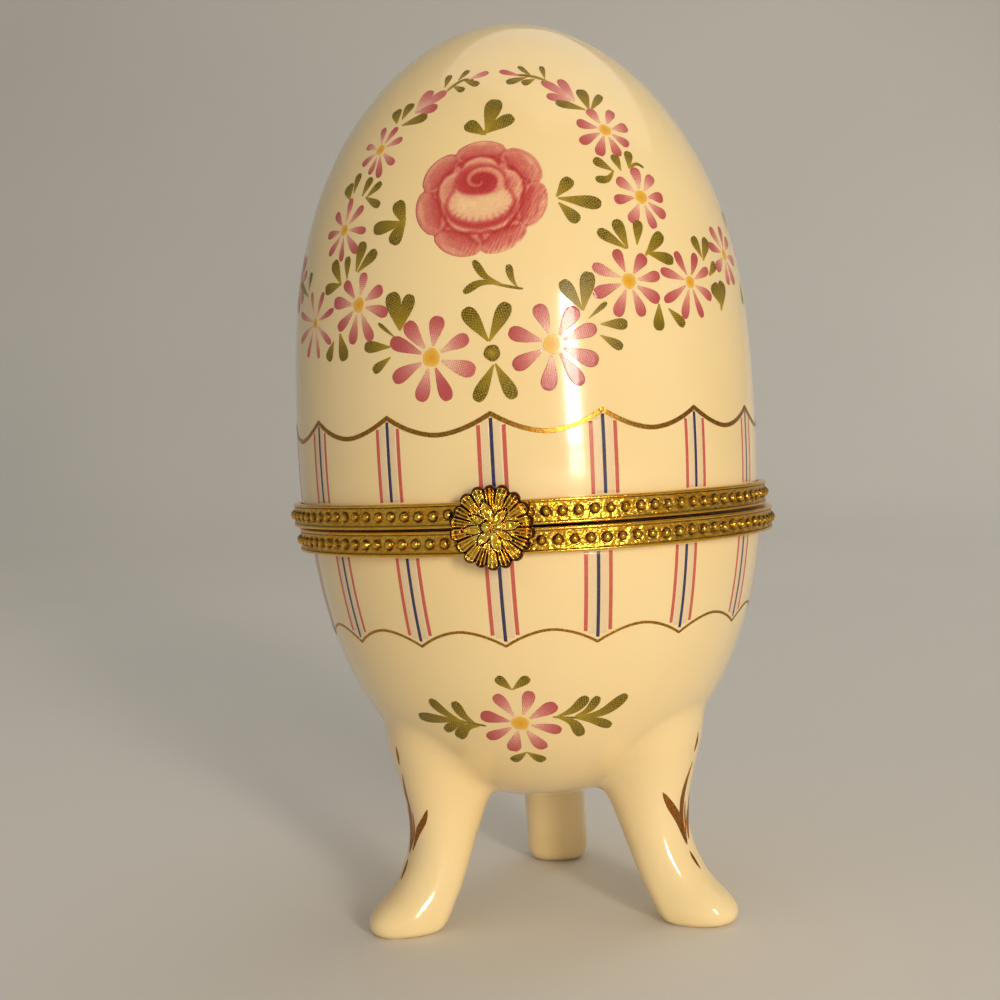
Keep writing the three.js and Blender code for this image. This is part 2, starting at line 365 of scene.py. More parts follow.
def spot(heap, chart, centre, radius, n=24, m=5, lift=0.045, wobble=0.06, seed=0.0, tones=(0.0, 1.0), outline=None, layer=0):
    """A round or shaped dab of enamel."""
    a = np.linspace(0, 2 * np.pi, n, endpoint=False)
    if outline is None:
        edge = radius * (1 + wobble * np.sin(3 * a + seed * 7) * 0.5 + wobble * np.sin(5 * a + seed * 3) * 0.4)
        edge = np.stack([np.cos(a), np.sin(a)], -1) * edge[:, None]
    else:
        edge = outline
        n = len(edge)
    rho = np.concatenate([np.linspace(0.0, 0.93, m), [0.965, 1]])
    rho[0] = 0.04
    m += 1
    xy = np.asarray(centre, float) + edge[:, None, :] * rho[None, :, None]
    up = np.broadcast_to(lift + 0.003 * layer - (lift + 0.003 * layer + 0.02) * np.clip((rho - 0.955) / 0.045, 0, 1) ** 2, xy.shape[:2])
    top = chart.place(xy, up)
    bottom = chart.place(xy, np.full(up.shape, -0.07))
    k = m + 1
    v = np.concatenate([top.reshape(-1, 3), bottom.reshape(-1, 3)])
    off, f = n * k, []
    for i in range(n):
        j = (i + 1) % n
        for q in range(m):
            face = (i * k + q, i * k + q + 1, j * k + q + 1, j * k + q)
            f.append(face)
            f.append(tuple(off + x for x in reversed(face)))
        f.append((i * k + m, off + i * k + m, off + j * k + m, j * k + m))
    f.append(tuple(i * k for i in range(n)))
    f.append(tuple(off + i * k for i in reversed(range(n))))
    values = {"along": np.broadcast_to(rho, xy.shape[:2]), "across": np.zeros(xy.shape[:2]), "x_mm": xy[..., 0], "y_mm": xy[..., 1],
              "seed": np.full(xy.shape[:2], seed),
              "tone": tones[0] + (tones[1] - tones[0]) * np.broadcast_to(rho, xy.shape[:2])}
    heap.add(v, f, **{q: np.tile(np.asarray(x).reshape(-1), 2) for q, x in values.items()})


# ---------- materials ----------
def srgb(r, g, b):
    def lin(c):
        c /= 255.0
        return c / 12.92 if c <= 0.04045 else ((c + 0.055) / 1.055) ** 2.4
    return (lin(r), lin(g), lin(b), 1.0)


class Look:
    """A node material, built up a node at a time."""

    def __init__(self, name, **shader):
        self.m = bpy.data.materials.new(name)
        self.m.use_nodes = True
        self.t = self.m.node_tree
        self.t.nodes.clear()
        out = self.node("ShaderNodeOutputMaterial")
        self.s = self.node("ShaderNodeBsdfPrincipled")
        self.t.links.new(self.s.outputs[0], out.inputs[0])
        for k, v in shader.items():
            self.s.inputs[k.replace("_", " ")].default_value = v

    def node(self, kind, **props):
        n = self.t.nodes.new(kind)
        for k, v in props.items():
            setattr(n, k, v)
        return n

    def link(self, a, b):
        self.t.links.new(a, b)
        return b

    def value(self, name):
        return self.node("ShaderNodeAttribute", attribute_name=name).outputs["Fac"]

    def math(self, op, a, b=None, clamp=False):
        n = self.node("ShaderNodeMath", operation=op, use_clamp=clamp)
        for i, x in enumerate((a, b)):
            if x is None:
                continue
            if isinstance(x, (int, float)):
                n.inputs[i].default_value = x
            else:
                self.link(x, n.inputs[i])
        return n.outputs[0]

    def noise(self, scale, detail=3.0, rough=0.55, vector=None):
        n = self.node("ShaderNodeTexNoise")
        n.inputs["Scale"].default_value = scale
        n.inputs["Detail"].default_value = detail
        n.inputs["Roughness"].default_value = rough
        self.link(vector if vector is not None else self.coords(), n.inputs["Vector"])
        return n.outputs["Fac"]

    def cells(self, scale, vector=None, feature="F1"):
        n = self.node("ShaderNodeTexVoronoi", feature=feature)
        n.inputs["Scale"].default_value = scale
        self.link(vector if vector is not None else self.coords(), n.inputs["Vector"])
        return n.outputs["Distance"]

    def coords(self):
        if not hasattr(self, "_c"):
            self._c = self.node("ShaderNodeTexCoord").outputs["Object"]
        return self._c

    def pair(self, a, b, c=None):
        n = self.node("ShaderNodeCombineXYZ")
        for i, x in enumerate((a, b, c)):
            if x is not None:
                self.link(x, n.inputs[i])
        return n.outputs[0]

    def ramp(self, fac, stops, mode="EASE"):
        n = self.node("ShaderNodeValToRGB")
        n.color_ramp.interpolation = mode
        e = n.color_ramp.elements
        while len(e) < len(stops):
            e.new(0.5)
        for x, (p, c) in zip(e, stops):
            x.position, x.color = p, c
        self.link(fac, n.inputs[0])
        return n.outputs[0]

    def mix(self, fac, a, b, blend="MIX"):
        n = self.node("ShaderNodeMix", data_type="RGBA", blend_type=blend)
        for i, x in ((0, fac), (6, a), (7, b)):
            if isinstance(x, (int, float, tuple)):
                n.inputs[i].default_value = x
            else:
                self.link(x, n.inputs[i])
        return n.outputs[2]

    def remap(self, x, a, b, c, d):
        n = self.node("ShaderNodeMapRange")
        self.link(x, n.inputs[0])
        for i, v in enumerate((a, b, c, d)):
            n.inputs[i + 1].default_value = v
        return n.outputs[0]

    def colour(self, x):
        if isinstance(x, tuple):
            self.s.inputs["Base Color"].default_value = x
        else:
            self.link(x, self.s.inputs["Base Color"])

    def rough(self, x):
        if isinstance(x, float):
            self.s.inputs["Roughness"].default_value = x
        else:
            self.link(x, self.s.inputs["Roughness"])

    def bump(self, height, strength, distance_mm):
        n = self.node("ShaderNodeBump")
        n.inputs["Strength"].default_value = strength
        n.inputs["Distance"].default_value = distance_mm * MM
        self.link(height, n.inputs["Height"])
        self.link(n.outputs[0], self.s.inputs["Normal"])


IVORY = srgb(247, 229, 191)


def porcelain_look():
    k = Look("glazed_porcelain", Roughness=0.13, IOR=1.5, Coat_Weight=0.55, Coat_Roughness=0.035, Coat_IOR=1.5,
             Subsurface_Weight=0.06, Subsurface_Scale=0.004)
    k.s.inputs["Subsurface Radius"].default_value = (1.0, 0.62, 0.32)
    broad = k.noise(26.0, 2.0)
    c = k.mix(k.remap(broad, 0.35, 0.7, 0.0, 1.0), srgb(249, 219, 160), srgb(252, 227, 174))
    # a few pin-prick specks fired into the glaze
    speck = k.math("LESS_THAN", k.cells(210.0), 0.035)
    rare = k.math("GREATER_THAN", k.noise(60.0, 1.0), 0.68)
    c = k.mix(k.math("MULTIPLY", k.math("MULTIPLY", speck, rare), 0.55), c, srgb(150, 112, 60))
    k.colour(c)
    k.rough(k.remap(k.noise(90.0, 3.0), 0.3, 0.75, 0.10, 0.17))
    k.bump(k.noise(70.0, 2.0), 0.10, 0.22)
    return k.m


def petal_look():
    k = Look("enamel_rose_pink", IOR=1.5, Coat_Weight=0.3, Coat_Roughness=0.07)
    along, across, seed = k.value("along"), k.value("across"), k.value("seed")
    x, y = k.value("x_mm"), k.value("y_mm")
    flat = k.pair(x, y, seed)
    streak = k.noise(5.0, 3.0, 0.6, k.pair(k.math("MULTIPLY", x, 2.2), k.math("MULTIPLY", y, 0.4), seed))
    a = k.math("SINE", k.math("ADD", k.math("MULTIPLY", k.math("ADD", x, y), 12.5), k.math("MULTIPLY", streak, 3.0)))
    b = k.math("SINE", k.math("MULTIPLY", k.math("SUBTRACT", x, y), 12.5))
    weave = k.math("MULTIPLY", a, b)
    dots = k.cells(4.0, flat)
    own = k.noise(0.9, 1.0, 0.5, k.pair(seed, seed))          # each petal is a little paler or deeper than the next
    grade = k.math("ADD", k.math("ADD", along, k.math("MULTIPLY", k.math("SUBTRACT", streak, 0.5), 0.5)), k.math("MULTIPLY", k.math("SUBTRACT", own, 0.5), 1.3))
    grade = k.math("ADD", grade, k.math("MULTIPLY", weave, 0.26))
    c = k.ramp(grade, [(0.0, srgb(240, 194, 160)), (0.2, srgb(227, 160, 140)), (0.5, srgb(209, 120, 111)), (0.9, srgb(187, 82, 80))])
    edge = k.math("POWER", k.math("ABSOLUTE", across), 5.0)
    edge = k.math("MAXIMUM", edge, k.math("POWER", along, 14.0))
    dark = k.math("MULTIPLY", k.math("LESS_THAN", dots, 0.38), k.math("ADD", k.math("MULTIPLY", edge, 0.55), 0.12))
    c = k.mix(dark, c, srgb(152, 42, 48))
    k.colour(c)
    k.rough(0.24)
    k.bump(k.math("ADD", k.math("ADD", streak, k.math("MULTIPLY", weave, 0.3)), k.math("MULTIPLY", dots, 0.9)), 0.55, 0.03)
    return k.m


def leaf_look():
    k = Look("enamel_olive", IOR=1.42, Coat_Weight=0.06, Coat_Roughness=0.12)
    along, seed = k.value("along"), k.value("seed")
    x, y = k.value("x_mm"), k.value("y_mm")
    wob = k.noise(1.6, 2.0, 0.5, k.pair(x, y, seed))
    a = k.math("SINE", k.math("ADD", k.math("MULTIPLY", x, 15.0), k.math("MULTIPLY", wob, 8.0)))
    b = k.math("SINE", k.math("ADD", k.math("MULTIPLY", y, 15.0), k.math("MULTIPLY", wob, 8.0)))
    weave = k.remap(k.math("MULTIPLY", a, b), -0.30, 0.40, 0.0, 1.0)
    grain = k.noise(5.0, 2.0, 0.6, k.pair(x, y, seed))
    fade = k.remap(along, 0.1, 0.75, 0.35, 1.0)
    mottle = k.math("ADD", k.math("MULTIPLY", weave, 0.70), k.math("MULTIPLY", k.math("SUBTRACT", grain, 0.5), 1.5))
    light = k.ramp(along, [(0.0, srgb(178, 150, 40)), (0.4, srgb(170, 142, 32)), (1.0, srgb(168, 142, 30))])
    dark = k.ramp(along, [(0.0, srgb(128, 104, 12)), (0.4, srgb(86, 67, 2)), (1.0, srgb(64, 47, 0))])
    k.colour(k.mix(k.math("SUBTRACT", 1.0, k.math("MULTIPLY", fade, k.math("SUBTRACT", 0.92, mottle, clamp=True)), clamp=True), dark, light))
    k.rough(k.remap(grain, 0.3, 0.7, 0.26, 0.4))
    k.bump(mottle, 0.45, 0.03)
    return k.m


def rose_look():
    k = Look("enamel_crimson", IOR=1.5, Coat_Weight=0.3, Coat_Roughness=0.07)
    tone, hatch = k.value("tone"), k.value("across")
    x, y = k.value("x_mm"), k.value("y_mm")
    # fine slanting brush lines, strongest on the outer petals
    u = k.math("ADD", k.math("MULTIPLY", x, 0.88), k.math("MULTIPLY", y, -0.47))
    v = k.math("ADD", k.math("MULTIPLY", x, 0.47), k.math("MULTIPLY", y, 0.88))
    lines = k.noise(1.0, 3.0, 0.6, k.pair(k.math("MULTIPLY", u, 4.6), k.math("MULTIPLY", v, 0.42)))
    cloud = k.noise(0.7, 3.0, 0.6, k.pair(x, y))
    dots = k.cells(4.6, k.pair(x, y))
    t = k.math("ADD", tone, k.math("MULTIPLY", k.math("SUBTRACT", lines, 0.5), k.math("ADD", 0.12, k.math("MULTIPLY", hatch, 0.80))))
    t = k.math("ADD", t, k.math("MULTIPLY", k.math("SUBTRACT", cloud, 0.5), 0.18))
    t = k.math("ADD", t, k.math("MULTIPLY", k.math("SUBTRACT", 0.4, dots), 0.14))
    c = k.ramp(t, [(0.0, srgb(246, 212, 156)), (0.15, srgb(238, 190, 144)), (0.34, srgb(224, 148, 120)), (0.55, srgb(207, 104, 92)),
                   (0.78, srgb(190, 64, 60)), (1.0, srgb(166, 34, 34))], "LINEAR")
    k.colour(c)
    k.rough(0.22)
    k.bump(k.math("ADD", lines, k.math("MULTIPLY", dots, 0.5)), 0.3, 0.02)
    return k.m


def eye_look():
    k = Look("enamel_amber", IOR=1.5, Coat_Weight=0.3, Coat_Roughness=0.08)
    x, y, seed = k.value("x_mm"), k.value("y_mm"), k.value("seed")
    g = k.noise(2.6, 3.0, 0.6, k.pair(x, y, seed))
    t = k.math("ADD", k.value("along"), k.math("MULTIPLY", k.math("SUBTRACT", g, 0.5), 0.5))
    k.colour(k.ramp(t, [(0.0, srgb(226, 160, 34)), (0.6, srgb(233, 174, 52)), (1.0, srgb(238, 196, 104))]))
    k.rough(0.25)
    k.bump(g, 0.3, 0.03)
    return k.m


def line_look(name, a, b, scale=3.0):
    k = Look(name, IOR=1.5, Coat_Weight=0.3, Coat_Roughness=0.08)
    x, y, seed = k.value("x_mm"), k.value("y_mm"), k.value("seed")
    g = k.noise(scale, 3.0, 0.65, k.pair(k.math("MULTIPLY", x, 3.0), y, seed))
    k.colour(k.mix(k.remap(g, 0.3, 0.7, 0.0, 1.0), a, b))
    k.rough(k.remap(g, 0.3, 0.7, 0.18, 0.3))
    k.bump(g, 0.3, 0.02)
    return k.m


def gilt_look(name="burnished_gilt", light=(214, 158, 66), dark=(120, 72, 22), rough=(0.22, 0.42), metal=1.0):
    k = Look(name, Metallic=metal)
    x, y, seed = k.value("x_mm"), k.value("y_mm"), k.value("seed")
    g = k.noise(6.0, 3.0, 0.7, k.pair(x, y, seed))
    d = k.cells(4.2, k.pair(x, y, seed))
    t = k.math("ADD", k.math("MULTIPLY", g, 0.8), k.math("MULTIPLY", d, 0.35))
    k.colour(k.mix(k.remap(t, 0.38, 0.68, 0.0, 1.0), srgb(*dark), srgb(*light)))
    k.rough(k.remap(g, 0.3, 0.7, rough[1], rough[0]))
    k.bump(t, 0.5, 0.03)
    return k.m


def brass_look(name="gilt_brass", fine=1.0, low=(236, 172, 52), high=(250, 202, 84), polish=0.0):
    """Bright stamped brass, mixed towards dark brown as painted shade where "hollow" is high; "hollow" is 1 down in the
    recesses, and low where a painted highlight is wanted.
    """
    k = Look(name, Metallic=1.0)
    hollow = k.value("hollow")
    broad = k.noise(420.0, 3.0)
    grain = k.noise(3300.0, 3.0, 0.65)
    pits = k.cells(2100.0)
    t = k.math("ADD", hollow, k.math("MULTIPLY", k.math("SUBTRACT", grain, 0.5), 0.5))
    t = k.math("ADD", t, k.math("MULTIPLY", k.math("SUBTRACT", broad, 0.5), 0.35), clamp=True)
    bright = k.mix(k.remap(broad, 0.35, 0.68, 0.0, 1.0), srgb(*low), srgb(*high))
    # painted shade: the brass is mixed towards dark brown where the hollow mask is high
    k.colour(k.mix(k.ramp(t, [(0.12, (0, 0, 0, 1)), (0.85, (1, 1, 1, 1))], "LINEAR"), bright, srgb(84, 40, 8)))
    r = k.math("ADD", k.remap(grain, 0.3, 0.7, 0.11 - polish, 0.25 - polish), k.math("MULTIPLY", hollow, 0.22))
    k.rough(r)
    k.bump(k.math("ADD", grain, k.math("MULTIPLY", pits, 0.6)), 0.22 * fine, 0.05)
    return k.m


PORCELAIN, PETAL, LEAF, ROSE_MATERIAL, EYE = porcelain_look(), petal_look(), leaf_look(), rose_look(), eye_look()
RED = line_look("enamel_red_line", srgb(196, 82, 72), srgb(210, 104, 88))
NAVY = line_look("enamel_navy_line", srgb(34, 34, 72), srgb(62, 62, 104))
LILAC = line_look("enamel_grey_lilac", srgb(232, 204, 162), srgb(237, 210, 169))
GILT = gilt_look()
GILT_BROWN = gilt_look("gilt_brown_strokes", (182, 118, 50), (112, 66, 24), (0.25, 0.42), 0.85)
BRASS = brass_look(fine=3.2)
# the clasp's brass is a lighter, yellower copy of the rims' brass: painted light, standing in for the brighter glints
# it catches
CLASP_BRASS = brass_look("gilt_brass_clasp", 1.3, (254, 206, 78), (255, 234, 134), 0.05)


# ---------- the porcelain ----------
def surface_net(field, low, high, h):
    """Quads close to where the field is zero, one vertex a cell, on a grid of pitch h."""
    axes = [np.arange(a, b + h, h) for a, b in zip(low, high)]
    grid = np.stack(np.meshgrid(*axes, indexing="ij"), -1)
    f = field(grid)
    inside = f < 0
    nx, ny, nz = f.shape
    corner = [(i, j, k) for i in (0, 1) for j in (0, 1) for k in (0, 1)]

    def at(a, c):
        return a[c[0]:nx - 1 + c[0], c[1]:ny - 1 + c[1], c[2]:nz - 1 + c[2]]

    count = sum(at(inside, c).astype(int) for c in corner)
    active = (count > 0) & (count < 8)
    index = np.full(active.shape, -1)
    index[active] = np.arange(active.sum())
    total, crossings = np.zeros((active.sum(), 3)), np.zeros(active.sum())
    for c in corner:
        for ax in range(3):
            if c[ax]:
                continue
            d = list(c)
            d[ax] = 1
            fa, fb = at(f, c)[active], at(f, tuple(d))[active]
            cross = (fa < 0) != (fb < 0)
            t = np.where(cross, fa / np.where(cross, fa - fb, 1), 0)
            p = np.tile(np.array(c, float), (len(fa), 1))
            p[:, ax] = t
            total += p * cross[:, None]
            crossings += cross
    cell = np.argwhere(active)
    verts = np.array([a[0] for a in axes]) + h * (cell + total / crossings[:, None])
    faces = []
    for ax in range(3):
        u, w = (ax + 1) % 3, (ax + 2) % 3
        s0 = [slice(1, -1)] * 3
        s0[ax] = slice(0, -1)
        s1 = list(s0)
        s1[ax] = slice(1, None)
        a, b = inside[tuple(s0)], inside[tuple(s1)]
        edge = np.argwhere(a != b)
        e = edge.copy()
        for q in (u, w):
            e[:, q] += 1
        out = a[tuple(edge.T)]
        quad = []
        for du, dw in ((-1, -1), (0, -1), (0, 0), (-1, 0)):
            g = e.copy()
            g[:, u] += du
            g[:, w] += dw
            quad.append(index[tuple(g.T)])
        quad = np.stack(quad, -1)
        quad[~out] = quad[~out][:, ::-1]
        faces.append(quad)
    return verts, np.concatenate(faces)


def base_porcelain():
    h = 0.62
    v, f = surface_net(base_field, (-34.2, -34.2, -0.93), (34.9, 34.2, 55.2), h)
    for _ in range(4):
        g = gradient(base_field, v)
        n2 = np.maximum((g ** 2).sum(-1), 0.15)
        step = np.clip(base_field(v) / n2, -0.3, 0.3)
        v = v - g * step[:, None]
    v[:, 2] = np.maximum(v[:, 2], 0.0)
    g = gradient(base_field, v, 0.05)
    g /= np.maximum(np.linalg.norm(g, axis=1, keepdims=True), 1e-6)
    obj = make_object("base_porcelain", v, f, "base", PORCELAIN, normals=g)
    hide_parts("base_shell")
    return obj


def lid_porcelain():
    edge = SEAM + 0.15 + 0.6 + 0.2
    a = np.linspace(math.asin(0.0), np.pi / 2, 110)
    z = np.concatenate([np.linspace(edge + 0.3, 62.1, 12)[:-1], 62.1 + 61.2 * np.sin(a)])
    s = at_height(z)
    s[-1] = MS[-1]
    # the last stretch before the crown in even steps, so that the top stays round
    s = np.concatenate([s[s < MS[-1] - 6], np.linspace(MS[-1] - 6, MS[-1], 14)])
    r, zz = np.interp(s, MS, MR_), np.interp(s, MS, MZ)
    nr, nz = np.interp(s, MS, MNR), np.interp(s, MS, MNZ)
    outer = np.stack([r, zz], -1)
    outer[-1] = (0, 123.3)
    inner = np.stack([np.maximum(r - WALL * nr, 0), zz - WALL * nz], -1)
    inner[-1] = (0, 123.3 - WALL)
    ro, ri = outer[0, 0], inner[0, 0]
    lip = [(ri, edge + 0.5), (ri + 0.08, edge + 0.2), (ri + 0.3, edge), (ro - 0.3, edge), (ro - 0.08, edge + 0.12)]
    outline = np.concatenate([outer, inner[::-1], lip])
    v, f = lathe(outline, 256, axis_x=AXIS["lid"])
    obj = make_object("lid_porcelain", v, f, "lid", PORCELAIN)
    weld(obj, 50)
    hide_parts("lid_shell")
    return obj


def weld(obj, sharp=None, dist=2e-7):
    import bmesh
    b = bmesh.new()
    b.from_mesh(obj.data)
    bmesh.ops.remove_doubles(b, verts=b.verts, dist=dist)
    bmesh.ops.recalc_face_normals(b, faces=b.faces)
    b.to_mesh(obj.data)
    b.free()
    obj.data.polygons.foreach_set("use_smooth", np.ones(len(obj.data.polygons), bool))
    if sharp is not None:
        obj.data.set_sharp_from_angle(angle=math.radians(sharp))


# ---------- the brass rims ----------
BEADS = 104


def rim(side):
    """side is 1 for the lid's rim, -1 for the base's; heights are measured from the seam."""
    name, body = ("lid_rim", "lid") if side > 0 else ("base_rim", "base")
    wall = lambda h: float(egg_radius(SEAM + side * h)) + 0.2
    columns = BEADS * 12
    field = np.linspace(0.62, 2.80, 20)
    outline = [(28.5, .15), (30.6, .15), (32.6, .15), (32.86, .15), (32.98, .18), (33.04, .25), (33.05, .38), (33.03, .47), (32.90, .55)]
    start = len(outline)
    outline += [(32.92, h) for h in field]
    outline += [(32.90, 2.87), (33.03, 2.94), (33.05, 3.02), (33.04, 3.14), (32.98, 3.22), (32.86, 3.25), (32.6, 3.25), (wall(3.25) + 0.02, 3.25),
                (wall(2.4), 2.4), (wall(1.6), 1.6), (wall(.75), .75), (30.6, .75), (28.5, .75), (28.42, .6), (28.42, .3)]
    o = np.array(outline)
    n = len(o)
    a = np.linspace(0, 2 * np.pi, columns, endpoint=False)
    R = np.tile(o[:, 0], (columns, 1))
    Z = np.tile(o[:, 1], (columns, 1))
    hollow = np.zeros((columns, n))
    pitch = 2 * np.pi / BEADS
    phase = 0.31 if side > 0 else 0.0
    where = ((a / pitch + phase) % 1.0 - 0.5) * pitch * 33.0          # mm from the nearest bead's middle
    number = np.floor(a / pitch + phase).astype(int) % BEADS
    rng = np.random.default_rng(11 + (side > 0))
    size = 0.55 + 0.03 * rng.standard_normal(BEADS).clip(-1.5, 1.5)
    rise = 0.05 * rng.standard_normal(BEADS).clip(-1.5, 1.5)
    mid = 1.72
    # a hammered ground: random shallow dimples
    h = o[start:start + len(field), 1]
    arc = a * 33.0
    ground = np.zeros((columns, len(field)))
    m = 2600
    cx, cz, cr = rng.uniform(0, 2 * np.pi * 33.0, m), rng.uniform(0.6, 2.8, m), rng.uniform(0.14, 0.26, m)
    step = arc[1] - arc[0]
    for x, z, r0 in zip(cx, cz, cr):
        i0 = int(x / step)
        k = np.arange(i0 - 3, i0 + 4) % columns
        dx = (arc[k] - x + np.pi * 33.0) % (2 * np.pi * 33.0) - np.pi * 33.0
        d2 = (dx[:, None] ** 2 + (h[None, :] - z) ** 2) / r0 ** 2
        ground[k] = np.minimum(ground[k], -0.11 * np.clip(1 - d2, 0, 1))
    edge = np.clip(np.minimum(h - 0.62, 2.80 - h) / 0.12, 0, 1)[None, :]
    b = size[number][:, None]
    d = np.hypot(where[:, None], (h[None, :] - mid - rise[number][:, None]))
    bead = np.sqrt(np.maximum(b ** 2 - d ** 2, 0)) * 0.95
    moat = -0.05 * np.exp(-((d - b - 0.12) / 0.11) ** 2)
    lift = np.where(d < b, bead, ground * edge + moat)
    R[:, start:start + len(field)] += lift
    R = np.minimum(R, 33.49)
    # painted shade and highlight in the hollow mask: a dark ring round each bead's foot, darker bead flanks and lighter
    # tops, lighter dimple floors as painted glints, darker next to the lips
    hollow[:, start:start + len(field)] = np.clip(
        0.22 + 0.78 * np.exp(-(np.maximum(d - b, 0) / 0.16) ** 2) * (d >= b * 0.985) - 9.0 * (ground + 0.045) * (ground < -0.03) * -0.35
        + (0.62 * np.clip((d / b - 0.42) / 0.4, 0, 1) - 0.25) * (d < b) + 0.35 * (1 - edge), 0, 1)
    # painted shade in the corners where the band meets the lips
    hollow[:, start - 1] = 0.8
    hollow[:, start + len(field)] = 0.8
    c, s = np.cos(a)[:, None], np.sin(a)[:, None]
    v = np.stack([AXIS[body] + R * c, R * s, SEAM + side * Z], -1).reshape(-1, 3)
    i = np.arange(columns)[:, None]
    k = np.arange(n)[None, :]
    j, q = (i + 1) % columns, (k + 1) % n
    f = np.stack([i * n + k, j * n + k, j * n + q, i * n + q], -1).reshape(-1, 4)
    if side < 0:
        f = f[:, ::-1]
    obj = make_object(name + "_beaded", v, f, body, BRASS, {"hollow": hollow.reshape(-1)}, sharp=75)
    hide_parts(name)
    return obj


